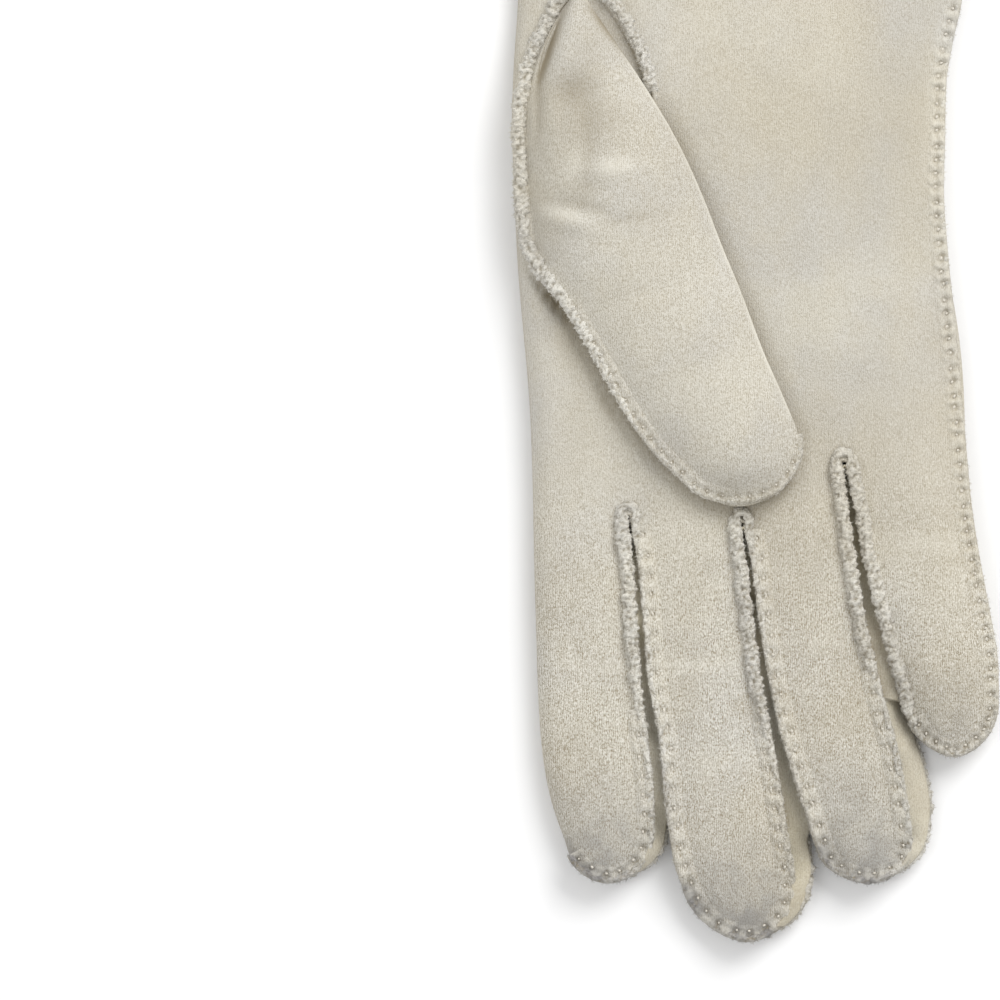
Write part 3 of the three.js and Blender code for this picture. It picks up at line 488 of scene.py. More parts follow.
# How far the back's raw edges lie to the right of the palm's, down each slot
BACK_SHIFTS = (
    ((-60, 0.0), (-78, 1.4), (-90, 2.0), (-99, 3.0), (-103, 2.6), (-108, 0.4)),
    ((-50, 0.0), (-72, 1.6), (-90, 3.4), (-103, 4.8), (-110, 3.0), (-120, 1.0)),
    ((-36, 0.0), (-60, 1.6), (-76, 4.4), (-90, 5.6), (-99, 3.8), (-108, 1.0)),
)

# How soiled the ends of the fingers are
END_SOIL = (0.65, 0.78, 0.66, 0.4)

# The side seam's raw edge from the little finger to the cuff
SIDE_EDGE = (
    (41.8, -12.4), (40.3, 3.6), (39.1, 15.6), (38.2, 27.6), (38.4, 39.6), (38.7, 51.6), (40.1, 59.6),
    (41.8, 67.6), (43.1, 85.0), (44.1, 108.0), (44.5, 120.2),
)

# The seam that sets the thumb into its hole: from below the thumb's fold, over the top and down to the crotch
HOLE_SEAM = (
    (-20.1, 44.0), (-20.4, 50.2), (-22.1, 56.6), (-24.9, 62.0), (-28.5, 67.2), (-33.3, 72.0), (-38.3, 67.2),
    (-41.3, 62.0), (-44.2, 55.6), (-45.9, 49.0), (-46.6, 42.0), (-46.3, 34.0), (-46.0, 26.0), (-45.1, 19.6),
    (-43.6, 13.8),
)

# The thumb's own raw edge from the crotch to where its tip turns
THUMB_EDGE = ((-40.9, 10.0), (-36.9, 4.9), (-32.6, -2.4), (-28.4, -10.0), (-23.9, -17.4), (-18.9, -24.0),
              (-13.5, -29.2))
THUMB_END_RIGHT = (7.7, -15.4)
THUMB_TIP = (4.7, -31.0)


def back_shift(slot: int, y: float) -> float:
    """How far to the right of the palm's raw edge the back's lies beside a slot, at a place down it."""
    rows = BACK_SHIFTS[slot][::-1]
    return float(np.interp(y, [row[0] for row in rows], [row[1] for row in rows]))


def back_start(slot: int) -> Point:
    """Where the end of the finger before a slot begins on the back, at its left."""
    x, y = FINGERS[slot].left[-1]
    return (x + (back_shift(slot - 1, y) if slot else 0.0), y)


class Line:
    """A smooth line on the glove in plan at even steps, with the directions to its left."""

    def __init__(self, points: Sequence[Point], inset: float = 0.0, step: float = STEP) -> None:
        """Draws the line.

        Args:
            points: the points that it goes through, each with any further values that go with it.
            inset: how far it is moved to the left of its direction, into the cloth.
            step: the distance between its stations.
        """
        fine = self._softened(self._even(self._through(np.array(points, float)), step / 3), 8)
        if inset:
            fine[:, :2] += self._sides(fine) * inset
        rows = self._softened(self._even(fine, step), 2)
        self.step = step
        self.points = rows[:, :2]
        self.values = rows[:, 2:]
        self.sides = self._softened(self._sides(rows), 3)
        self.sides /= np.linalg.norm(self.sides, axis=1)[:, None]

    def __len__(self) -> int:
        """The number of stations."""
        return len(self.points)

    def heading(self, station: int) -> float:
        """The direction in which the line runs at a station, in radians."""
        side = self.sides[station]
        return math.atan2(-side[0], side[1])

    def part(self, first: int, last: int) -> "Line":
        """A stretch of the line."""
        cut = object.__new__(Line)
        cut.step = self.step
        cut.points, cut.values, cut.sides = (
            rows[first:last] for rows in (self.points, self.values, self.sides)
        )
        return cut

    @staticmethod
    def _through(points: np.ndarray) -> np.ndarray:
        """A curve through the points, as many short steps."""
        padded = np.vstack([2 * points[0] - points[1], points, 2 * points[-1] - points[-2]])
        out = []
        for i in range(1, len(padded) - 2):
            before, start, end, after = padded[i - 1:i + 3]
            reach = np.linalg.norm((end - start)[:2])
            leave = (end - before) / max(np.linalg.norm((end - before)[:2]), 1e-6) * reach
            arrive = (after - start) / max(np.linalg.norm((after - start)[:2]), 1e-6) * reach
            for t in np.linspace(0, 1, 24, endpoint=False):
                out.append(
                    (2 * t**3 - 3 * t**2 + 1) * start + (t**3 - 2 * t**2 + t) * leave
                    + (3 * t**2 - 2 * t**3) * end + (t**3 - t**2) * arrive
                )
        return np.array([*out, padded[-2]])

    @staticmethod
    def _even(rows: np.ndarray, step: float) -> np.ndarray:
        """The same line at even steps."""
        lengths = np.concatenate([[0], np.cumsum(np.linalg.norm(np.diff(rows[:, :2], axis=0), axis=1))])
        wanted = np.linspace(0, lengths[-1], max(int(round(lengths[-1] / step)), 2) + 1)
        return np.stack([np.interp(wanted, lengths, column) for column in rows.T], 1)

    @staticmethod
    def _softened(rows: np.ndarray, passes: int) -> np.ndarray:
        """The rows after averaging with their neighbours, with the ends kept."""
        rows = rows.copy()
        for _ in range(passes):
            rows[1:-1] = (rows[:-2] + 2 * rows[1:-1] + rows[2:]) / 4
        return rows

    @staticmethod
    def _sides(rows: np.ndarray) -> np.ndarray:
        """The directions to the left of the line."""
        run = np.gradient(rows[:, :2], axis=0)
        run /= np.maximum(np.linalg.norm(run, axis=1), 1e-9)[:, None]
        return np.stack([-run[:, 1], run[:, 0]], 1)


def extended(values: np.ndarray, reach: int) -> np.ndarray:
    """The values with the first and the last of them repeated reach times more."""
    return np.concatenate([np.repeat(values[:1], reach, 0), values, np.repeat(values[-1:], reach, 0)])


def running_mean(values: np.ndarray, reach: int) -> np.ndarray:
    """A running mean down the first axis, over reach neighbours on each side."""
    padded = extended(values, reach)
    sums = np.cumsum(np.concatenate([np.zeros_like(padded[:1]), padded]), axis=0)
    width = 2 * reach + 1
    return (sums[width:] - sums[:-width]) / width


def running_top(values: np.ndarray, reach: int) -> np.ndarray:
    """The highest value among reach neighbours on each side, down the first axis."""
    padded = extended(values, reach)
    return np.max([padded[i:i + len(values)] for i in range(2 * reach + 1)], axis=0)


# Meshes


def soil_and_shade_at(places: np.ndarray) -> np.ndarray:
    """How soiled and shaded the cloth is at each place: soiled most at the fingers' ends, with shade painted
    on their lower left rims.
    """
    ends = np.array([finger.tip for finger in FINGERS]) + np.array((-1.5, 3.5))
    spread = np.linalg.norm((places[:, None, :2] - ends[None]) / (12.0, 15.0), axis=2)
    soil_and_shade = (np.array(END_SOIL) * np.exp(-(spread**2))).max(axis=1)
    # Painted shade on the lower left rims of the first three fingers' ends, where the cloth curls down away
    # from the light
    for finger in FINGERS[:3]:
        for x, y, _ in finger.end(start=8.0, stop=112.0):
            away = np.linalg.norm(places[:, :2] - (x + 0.6, y + 0.6), axis=1)
            soil_and_shade = np.maximum(soil_and_shade, np.exp(-((away / 1.9) ** 2)))
    thumb = np.linalg.norm((places[:, :2] - (0.0, -28.5)) / (9.0, 3.5), axis=1)
    return np.maximum(soil_and_shade, 0.3 * np.exp(-(thumb**2)))


def add_object(name: str, data: bpy.types.ID) -> bpy.types.Object:
    """Puts an object that holds the data into the scene."""
    made = bpy.data.objects.new(name, data)
    bpy.context.scene.collection.objects.link(made)
    return made


def read_vectors(mesh: bpy.types.Mesh, name: str) -> np.ndarray:
    """A vector of each vertex of a mesh, such as its place or its normal."""
    values = np.zeros(len(mesh.vertices) * 3, np.float32)
    mesh.vertices.foreach_get(name, values)
    return values.reshape(-1, 3)


def add_layer(mesh: bpy.types.Mesh, name: str, values: np.ndarray) -> None:
    """Gives each vertex of a mesh a number for its material to read."""
    layer = mesh.attributes.new(name, "FLOAT", "POINT")
    layer.data.foreach_set("value", values.astype(np.float32))


def new_curve(name: str, bevel: float, resolution: int) -> bpy.types.Curve:
    """An empty round curve in space with closed ends."""
    curve = bpy.data.curves.new(name, "CURVE")
    curve.dimensions = "3D"
    curve.bevel_depth = bevel
    curve.bevel_resolution = resolution
    curve.use_fill_caps = True
    return curve


def add_stitch(
    shape: bmesh.types.BMesh, place: Sequence[float], angle: float, size: Sequence[float], rings: int
) -> None:
    """Adds a stitch, which is a small flattened ball.

    Args:
        shape: the bmesh of the stitches.
        place: where its middle lies, in millimetres.
        angle: how far it is turned, in radians.
        size: its length, width and thickness in millimetres.
        rings: how many rings of faces it has.
    """
    matrix = Matrix.Translation(Vector(place) * MM) @ Matrix.Rotation(angle, 4, "Z")
    matrix @= Matrix.Diagonal((*(value * MM / 2 for value in size), 1))
    bmesh.ops.create_uvsphere(shape, u_segments=8, v_segments=rings, radius=1.0, matrix=matrix)


def finish_piece(
    name: str, mesh: bpy.types.Mesh, material: bpy.types.Material, nodes: Iterable[str] = ()
) -> bpy.types.Object:
    """Makes a mesh a piece of the glove.

    Args:
        name: the piece's name.
        mesh: its mesh, in place and in metres.
        material: its material.
        nodes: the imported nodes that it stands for.

    Returns:
        The piece.
    """
    # Soil at the fingers' ends, and shade painted on their lower left rims
    add_layer(mesh, "soil_and_shade", soil_and_shade_at(read_vectors(mesh, "co") / MM))
    piece = add_object(name, mesh)
    mesh.materials.clear()
    mesh.materials.append(material)
    mesh.shade_smooth()
    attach(piece, "root")
    if nodes:
        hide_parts(*nodes)
    log.info("%s: %d faces at %.1f s", name, len(mesh.polygons), time.perf_counter() - started)
    return piece


def mesh_from(name: str, shape: bmesh.types.BMesh) -> bpy.types.Mesh:
    """Turns a bmesh into a mesh and frees it."""
    mesh = bpy.data.meshes.new(name)
    shape.to_mesh(mesh)
    shape.free()
    return mesh


def evaluated_mesh(
    data: bpy.types.ID, dress: Callable[[bpy.types.Object], None] | None = None
) -> bpy.types.Mesh:
    """The mesh that a mesh or curve makes once its modifiers or its bevel have run.

    Args:
        data: the mesh or curve.
        dress: adds modifiers to the object that holds it.

    Returns:
        The new mesh.
    """
    helper = add_object("helper", data)
    if dress:
        dress(helper)
    made = bpy.data.meshes.new_from_object(helper.evaluated_get(bpy.context.evaluated_depsgraph_get()))
    bpy.data.objects.remove(helper)
    return made


def mapped_grid(rows: np.ndarray) -> bmesh.types.BMesh:
    """A grid whose points are put in place.

    Args:
        rows: for each of its points the place in millimetres and the shade painted there.

    Returns:
        The grid, with its painted shade as an attribute.
    """
    steps, columns = rows.shape[0] - 1, rows.shape[1] - 1
    shape = bmesh.new()
    bmesh.ops.create_grid(shape, x_segments=steps, y_segments=columns, size=1.0)
    painted_shading = shape.verts.layers.float.new("painted_shading")
    for vert in shape.verts:
        i, j = round((vert.co.x + 1) / 2 * steps), round((vert.co.y + 1) / 2 * columns)
        x, y, z, depth = rows[i, j]
        vert.co = (x * MM, y * MM, z * MM)
        vert[painted_shading] = depth
    return shape


def tube(rows: np.ndarray) -> bmesh.types.BMesh:
    """A closed tube, made by rolling up a grid whose last column is its first.

    Args:
        rows: for each of its points the place in millimetres and the shade painted there.

    Returns:
        The tube with its ends filled.
    """
    shape = mapped_grid(rows)
    bmesh.ops.remove_doubles(shape, verts=shape.verts, dist=1e-7)
    bmesh.ops.holes_fill(shape, edges=[edge for edge in shape.edges if edge.is_boundary], sides=0)
    bmesh.ops.recalc_face_normals(shape, faces=shape.faces)
    return shape


def sheet(rows: np.ndarray, thickness: float) -> bmesh.types.BMesh:
    """A thin closed sheet whose upper side goes through the given places.

    Args:
        rows: for each of its points the place in millimetres and the shade painted there.
        thickness: its thickness in millimetres.

    Returns:
        The sheet.
    """
    shape = mapped_grid(rows)
    shape.normal_update()
    if sum(face.normal.z for face in shape.faces) < 0:
        bmesh.ops.reverse_faces(shape, faces=shape.faces)
    bmesh.ops.solidify(shape, geom=shape.faces, thickness=thickness * MM)
    bmesh.ops.recalc_face_normals(shape, faces=shape.faces)
    return shape


@dataclass(frozen=True)
class Crease:
    """A soft ridge or valley of the cloth, with its half length, half width and rise in millimetres, and the
    shade that it paints.
    """

    x: float
    y: float
    angle: float
    length: float
    width: float
    rise: float
    # Shade painted into the cloth's colour along the crease; below 0 it paints a highlight
    painted_shade: float = 0.0
    through: bool = False

    def share(self, places: np.ndarray) -> np.ndarray:
        """How much of it there is at each place, from 0 to 1."""
        turn = math.radians(self.angle)
        dx, dy = places[:, 0] - self.x, places[:, 1] - self.y
        along = (dx * math.cos(turn) + dy * math.sin(turn)) / self.length
        across = (dy * math.cos(turn) - dx * math.sin(turn)) / self.width
        return np.exp(-(along**2) - across**2)


# The palm's creases, with shade painted in valleys, in the crotch and under the thumb's rim, and highlight
# painted on some ridges
PALM_CREASES = (
    Crease(x=-32, y=-63.5, angle=4, length=9, width=1.2, rise=-0.16),
    Crease(x=-31, y=-66.0, angle=3, length=9, width=1.6, rise=0.2, painted_shade=-0.16),
    Crease(x=-10, y=-62.0, angle=3, length=9, width=1.3, rise=-0.25, painted_shade=0.1),
    Crease(x=-10, y=-64.6, angle=2, length=9, width=1.5, rise=0.2, painted_shade=-0.28),
    Crease(x=-7, y=-81.5, angle=-3, length=9, width=1.2, rise=-0.18),
    Crease(x=-7, y=-84.4, angle=-2, length=9, width=1.8, rise=0.18, painted_shade=-0.14),
    Crease(x=12, y=-58.0, angle=4, length=8, width=1.3, rise=-0.18),
    Crease(x=13, y=-60.8, angle=5, length=8, width=1.8, rise=0.18, painted_shade=-0.2),
    Crease(x=17, y=-78.0, angle=6, length=8, width=1.4, rise=-0.16),
    Crease(x=34, y=-38.4, angle=5, length=9, width=1.3, rise=-0.18),
    Crease(x=34, y=-41.4, angle=4, length=9, width=1.7, rise=0.2, painted_shade=-0.18),
    Crease(x=38, y=-59.0, angle=80, length=8, width=1.1, rise=-0.20),
    Crease(x=-20, y=-18.0, angle=18, length=16, width=3.4, rise=-0.35),
    Crease(x=16, y=-8.0, angle=-12, length=14, width=3.4, rise=-0.35),
    Crease(x=14, y=20.0, angle=62, length=22, width=4.4, rise=0.40),
    Crease(x=26, y=40.0, angle=78, length=20, width=3.8, rise=-0.35),
    Crease(x=32, y=24.0, angle=84, length=20, width=3.0, rise=-0.30),
    Crease(x=6, y=52.0, angle=70, length=16, width=3.4, rise=-0.30),
    Crease(x=-6, y=88.0, angle=8, length=24, width=4.6, rise=-0.35),
    Crease(x=22, y=96.0, angle=-20, length=18, width=4.0, rise=0.30),
    Crease(x=-40, y=-14.0, angle=84, length=16, width=2.6, rise=0.26),
    Crease(x=-33, y=-82.0, angle=10, length=8, width=2.2, rise=-0.18),
    Crease(x=-39.2, y=6.8, angle=-48, length=5.6, width=0.9, rise=-2.0, painted_shade=1.1, through=True),
    Crease(x=-29.0, y=-13.6, angle=-58, length=5.0, width=1.2, rise=-0.2, painted_shade=0.35),
    Crease(x=-7.0, y=-34.4, angle=-8, length=8.0, width=1.1, rise=-0.2, painted_shade=0.35),
    Crease(x=-36.4, y=-0.6, angle=-50, length=7.0, width=2.8, rise=0.0, painted_shade=0.3),
    Crease(x=-36.0, y=-18.0, angle=84, length=16.0, width=6.0, rise=0.0, painted_shade=0.12),
    Crease(x=-12.0, y=-50.0, angle=84, length=8.0, width=3.4, rise=-0.2, painted_shade=0.14),
    Crease(x=12.0, y=-46.0, angle=70, length=8.0, width=3.4, rise=-0.2, painted_shade=0.12),
    Crease(x=-12.0, y=-73.0, angle=80, length=6.0, width=4.0, rise=-0.15, painted_shade=0.12),
    Crease(x=-34.0, y=-84.0, angle=80, length=8.0, width=4.0, rise=-0.15, painted_shade=0.1),
    Crease(x=41.0, y=-49.0, angle=70, length=9.0, width=2.6, rise=0.15, painted_shade=-0.12),
    Crease(x=30.0, y=44.0, angle=80, length=22.0, width=8.0, rise=-0.2, painted_shade=0.2),
    Crease(x=19.7, y=-72.4, angle=75, length=8.0, width=4.0, rise=-0.15, painted_shade=0.16),
)

# The thumb's creases, with shade painted in its valleys and beside the hole's seam, and highlight painted on
# its ridges
THUMB_CREASES = (
    Crease(x=-36.8, y=22.4, angle=-15, length=6.5, width=1.3, rise=0.70),
    Crease(x=-34.4, y=25.6, angle=-13, length=6.0, width=1.5, rise=-0.80, painted_shade=0.22),
    Crease(x=-27.8, y=33.4, angle=6, length=5.5, width=2.3, rise=0.60),
    Crease(x=-36.5, y=48.6, angle=12, length=4.6, width=3.0, rise=-0.90, painted_shade=0.28),
    Crease(x=-33.6, y=39.5, angle=84, length=7.5, width=2.4, rise=-0.75, painted_shade=0.16),
    Crease(x=-40.2, y=40.0, angle=88, length=8.0, width=1.8, rise=0.55),
    Crease(x=-37.6, y=57.5, angle=72, length=8.0, width=1.6, rise=0.40),
    Crease(x=-24.0, y=8.0, angle=16, length=12, width=1.4, rise=-0.22),
    Crease(x=-17.0, y=16.0, angle=20, length=10, width=2.6, rise=0.22),
    Crease(x=-24.0, y=22.0, angle=30, length=9, width=3.0, rise=-0.35),
    Crease(x=-14.0, y=-8.0, angle=26, length=12, width=2.4, rise=-0.26),
    Crease(x=-4.0, y=-20.0, angle=40, length=9, width=2.8, rise=0.20),
    Crease(x=-40.7, y=57.6, angle=73.6, length=9.0, width=1.1, rise=-2.0, painted_shade=1.0, through=True),
    Crease(x=-42.6, y=44.0, angle=86, length=5.0, width=0.8, rise=-0.9, painted_shade=0.3, through=True),
    Crease(x=-28.6, y=61.2, angle=-52, length=7.0, width=1.1, rise=-0.3, painted_shade=0.9, through=True),
    Crease(x=-28.0, y=33.4, angle=8, length=4.4, width=1.9, rise=0.1, painted_shade=-0.5),
    Crease(x=-37.0, y=24.6, angle=-12, length=5.0, width=1.4, rise=0.0, painted_shade=-0.45),
    Crease(x=-35.6, y=34.0, angle=80, length=4.0, width=1.6, rise=0.0, painted_shade=-0.3),
    Crease(x=-30.0, y=43.0, angle=20, length=5.0, width=4.0, rise=0.0, painted_shade=0.24),
    Crease(x=-34.0, y=52.0, angle=70, length=12.0, width=5.0, rise=0.0, painted_shade=0.24),
    Crease(x=-34.0, y=30.0, angle=20, length=3.6, width=2.4, rise=-0.3, painted_shade=0.22),
    Crease(x=-25.0, y=23.0, angle=8, length=7.0, width=1.0, rise=-0.25, painted_shade=0.14),
    Crease(x=-20.0, y=27.0, angle=60, length=10.0, width=6.0, rise=-0.2, painted_shade=0.12),
)

# The thumb's fold, which lies over the palm, and along which a highlight is painted
THUMB_FOLD = (
    (-33.1, 67.0), (-30.3, 63.4), (-26.9, 58.2), (-23.3, 53.0), (-19.7, 47.4), (-15.9, 41.2), (-12.5, 34.4),
    (-10.5, 29.8), (-8.9, 26.0), (-5.5, 16.8), (-2.3, 9.6), (0.3, 2.2), (2.9, -4.6), (5.5, -10.0),
    (7.7, -15.4),
)


@dataclass
class ClothPiece:
    """A piece of the glove's cloth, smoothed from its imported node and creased."""

    node: str
    finish: ClothFinish
    slot: str
    creases: tuple[Crease, ...] = ()
    levels: int = 2
    lowest: float = 5.2
    ripple: float = 0.2
    # Lines along which a highlight and a shadow are painted
    fold: tuple[Point, ...] = ()
    shadow: tuple[Point, ...] = ()
    ends_at: float = -200.0
    mesh: bpy.types.Mesh = field(default=None, init=False)
    places: np.ndarray = field(default=None, init=False)
    painted_shades: np.ndarray = field(default=None, init=False)
    polygons: list[tuple[int, ...]] = field(default_factory=list, init=False)

    def shape(self) -> None:
        """Smooths the node's mesh and puts its creases in."""
        self.mesh = self._smooth_copy()
        places = read_vectors(self.mesh, "co").astype(float) / MM
        upward = read_vectors(self.mesh, "normal")[:, 2]
        places[:, 1] -= self._slot_drop(places)
        past = np.maximum(self.ends_at + 5 - places[:, 1], 0)
        places[:, 1] += past - 5 * (1 - np.exp(-past / 5))
        places[:, 2] += self._relief(places, upward)
        if self.slot == "strip_cloth":
            sunk = np.clip((SUNK_FROM - places[:, 1]) / SUNK_OVER, 0, 1)
            places[:, 2] -= SUNK_SHARE * sunk * (places[:, 2] - SUNK_TO)
        self.mesh.vertices.foreach_set("co", (places * MM).astype(np.float32).ravel())
        self.mesh.update()
        self.places = places
        self.polygons = [tuple(face.vertices) for face in self.mesh.polygons]

    def dress(self, surface: "Surface") -> bpy.types.Object:
        """Paints shade into the recesses and the creases, a highlight on the fold and the creases' ridges and
        a shadow under the thumb's rim, and makes the piece.

        Args:
            surface: the whole glove's cloth.

        Returns:
            The piece.
        """
        # Painted shade where nearby cloth hides the sky, with the shade and highlight that the creases paint
        depths = surface.painted_occlusion(self.places, read_vectors(self.mesh, "normal").astype(float))
        tints = {"painted_shading": np.clip(depths + self.painted_shades, 0, 0.92), "painted_highlight": np.clip(-self.painted_shades, 0, 0.8)}
        # A painted highlight along the thumb's fold, and a painted shadow on the palm along the thumb's rim
        marks = (("painted_highlight", self.fold, 0.95, 0.55), ("painted_shading", self.shadow, 0.6, 1.0))
        for name, points, depth, width in marks:
            if points:
                line = Line(points).points
                away = np.array([np.linalg.norm(line - place[:2], axis=1).min() for place in self.places])
                upper = np.clip(self.places[:, 2] - self.lowest, 0, 1)
                tints[name] = np.maximum(tints[name], depth * np.exp(-((away / width) ** 2)) * upper)
        for name, values in tints.items():
            add_layer(self.mesh, name, values)
        material = bpy.data.materials.get(self.finish.name) or self.finish.material()
        return finish_piece(f"{self.node}_cloth", self.mesh, material, [self.node])

    def _smooth_copy(self) -> bpy.types.Mesh:
        """The node's mesh, merged, in quads where it can be, and subdivided."""
        shape = bmesh.new()
        shape.from_mesh(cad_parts[self.node].data)
        bmesh.ops.remove_doubles(shape, verts=shape.verts, dist=2e-6)
        bmesh.ops.join_triangles(
            shape, faces=shape.faces,
            angle_face_threshold=math.radians(50), angle_shape_threshold=math.radians(60),
        )

        def subdivide(helper: bpy.types.Object) -> None:
            """Adds the subdivision."""
            smooth = helper.modifiers.new("smooth", "SUBSURF")
            smooth.levels = smooth.render_levels = self.levels

        return evaluated_mesh(mesh_from(self.node, shape), subdivide)

    @staticmethod
    def _slot_drop(places: np.ndarray) -> np.ndarray:
        """How far each point is drawn down where a slot is sewn shut further down than it is cut."""
        drop = np.zeros(len(places))
        upper = np.clip((places[:, 2] - 1.5) / 4, 0, 1)
        for (cut_x, cut_y), (_, sewn_y) in zip(CUT_TOPS, SLOT_TOPS):
            square = ((places[:, 0] - cut_x) / 6.0) ** 2 + ((places[:, 1] - cut_y) / 8.0) ** 2
            drop += (cut_y - sewn_y) * np.exp(-square)
        return drop * upper

    def _relief(self, places: np.ndarray, upward: np.ndarray) -> np.ndarray:
        """How far each point moves up, in millimetres.

        Args:
            places: the points.
            upward: how much the cloth faces up at each of them.

        Returns:
            The rise of each point.
        """
        upper = np.clip((places[:, 2] - self.lowest) / 1.5, 0, 1)
        top = upper * np.clip(upward / 0.4, 0, 1)
        ripple = np.array([
            noise.noise(Vector((x / 7, y / 12, 0.3))) + 1.2 * noise.noise(Vector((x / 19, y / 24, 4.1)))
            for x, y, _ in places
        ])
        rise = self.ripple * ripple * top
        self.painted_shades = np.zeros(len(places))
        for crease in self.creases:
            share = crease.share(places)
            rise += share * crease.rise * (upper if crease.through else top)
            # The shade that each crease paints, a highlight where below 0
            self.painted_shades += share * crease.painted_shade * upper
        return rise


class Surface:
    """All the glove's cloth, for finding the heights of its faces."""

    def __init__(self, pieces: Iterable[ClothPiece]) -> None:
        """Builds the search tree."""
        places, polygons = [], []
        for piece in pieces:
            polygons += [tuple(index + len(places) for index in face) for face in piece.polygons]
            places += [tuple(place) for place in piece.places]
        self.tree = BVHTree.FromPolygons(places, polygons)

    def heights(self, points: np.ndarray, face: Face) -> np.ndarray:
        """The heights of the outer face at places in plan, or nan where there is no cloth."""
        start, way = 40.0 * face.value, Vector((0, 0, -face.value))
        found = []
        for x, y in points:
            hit = self.tree.ray_cast(Vector((x, y, start)), way)[0]
            found.append(math.nan if hit is None else hit.z)
        return np.array(found)

    def profile(self, line: Line, offsets: Sequence[float], face: Face) -> np.ndarray:
        """The heights beside a line.

        Args:
            line: the line.
            offsets: how far to its left each column is.
            face: the face of the glove.

        Returns:
            The heights by station and column, carried over where there is no cloth.
        """
        columns = [self.heights(line.points + line.sides * offset, face) for offset in offsets]
        table = np.array(columns).T
        for row in table:
            missing = np.isnan(row)
            if missing.all():
                continue
            row[missing] = np.interp(np.flatnonzero(missing), np.flatnonzero(~missing), row[~missing])
        empty = np.isnan(table).all(axis=1)
        if empty.any():
            known = np.flatnonzero(~empty)
            for j in range(table.shape[1]):
                table[:, j] = np.interp(np.arange(len(table)), known, table[known, j])
        return table

    def painted_occlusion(self, places: np.ndarray, normals: np.ndarray, reach: float = 4.5) -> np.ndarray:
        """The shade painted on each point of the palm's side, from 0 to 1, by how many of its rays meet cloth
        nearby.

        Args:
            places: the points.
            normals: the cloth's normals there.
            reach: how far away cloth still counts.

        Returns:
            The depths.
        """
        ways = [
            Vector((math.cos(turn) * 0.76, math.sin(turn) * 0.76, 0.65))
            for turn in np.linspace(0, 2 * math.pi, 6, endpoint=False)
        ]
        depths = np.zeros(len(places))
        for i in np.flatnonzero(normals[:, 2] > 0.05):
            start = Vector(places[i] + normals[i] * 0.2)
            met = sum(self.tree.ray_cast(start, way, reach)[0] is not None for way in ways)
            depths[i] = met / len(ways)
        return np.clip(depths * 1.2 - 0.25, 0, 0.85)


@dataclass
class Fuzz:
    """Loose fibres, each a thin bent hair."""

    seed: int
    thickness: float = 0.045
    hairs: list[list[Vector]] = field(default_factory=list)

    def __post_init__(self) -> None:
        """Starts the random numbers."""
        self.rng = random.Random(self.seed)

    def grow(self, root: Vector, out: Vector, length: float) -> None:
        """Adds a hair.

        Args:
            root: where it starts, in millimetres.
            out: the direction away from the cloth.
            length: its length.
        """
        gauss = self.rng.gauss
        way = (out + Vector((gauss(0, 0.55), gauss(0, 0.55), gauss(0, 0.35)))).normalized()
        bend = Vector((gauss(0, 0.5), gauss(0, 0.5), gauss(0, 0.35) - 0.25))
        middle = root + way * (length * 0.55)
        hair = [root - way * 0.15, middle, middle + (way + bend).normalized() * (length * 0.45)]
        for place in hair:
            place.z = max(place.z, 2 * self.thickness)
        self.hairs.append(hair)

    def add_to(self, shape: bmesh.types.BMesh) -> None:
        """Adds all the hairs to a bmesh."""
        curve = new_curve("fuzz", 1.0, 0)
        for hair in self.hairs:
            spline = curve.splines.new("POLY")
            spline.points.add(len(hair) - 1)
            spline.points.foreach_set("co", [value for place in hair for value in (*(place * MM), 1.0)])
            radii = (self.thickness, self.thickness * 0.75, self.thickness * 0.25)
            spline.points.foreach_set("radius", [radius * MM for radius in radii])
        shape.from_mesh(evaluated_mesh(curve))


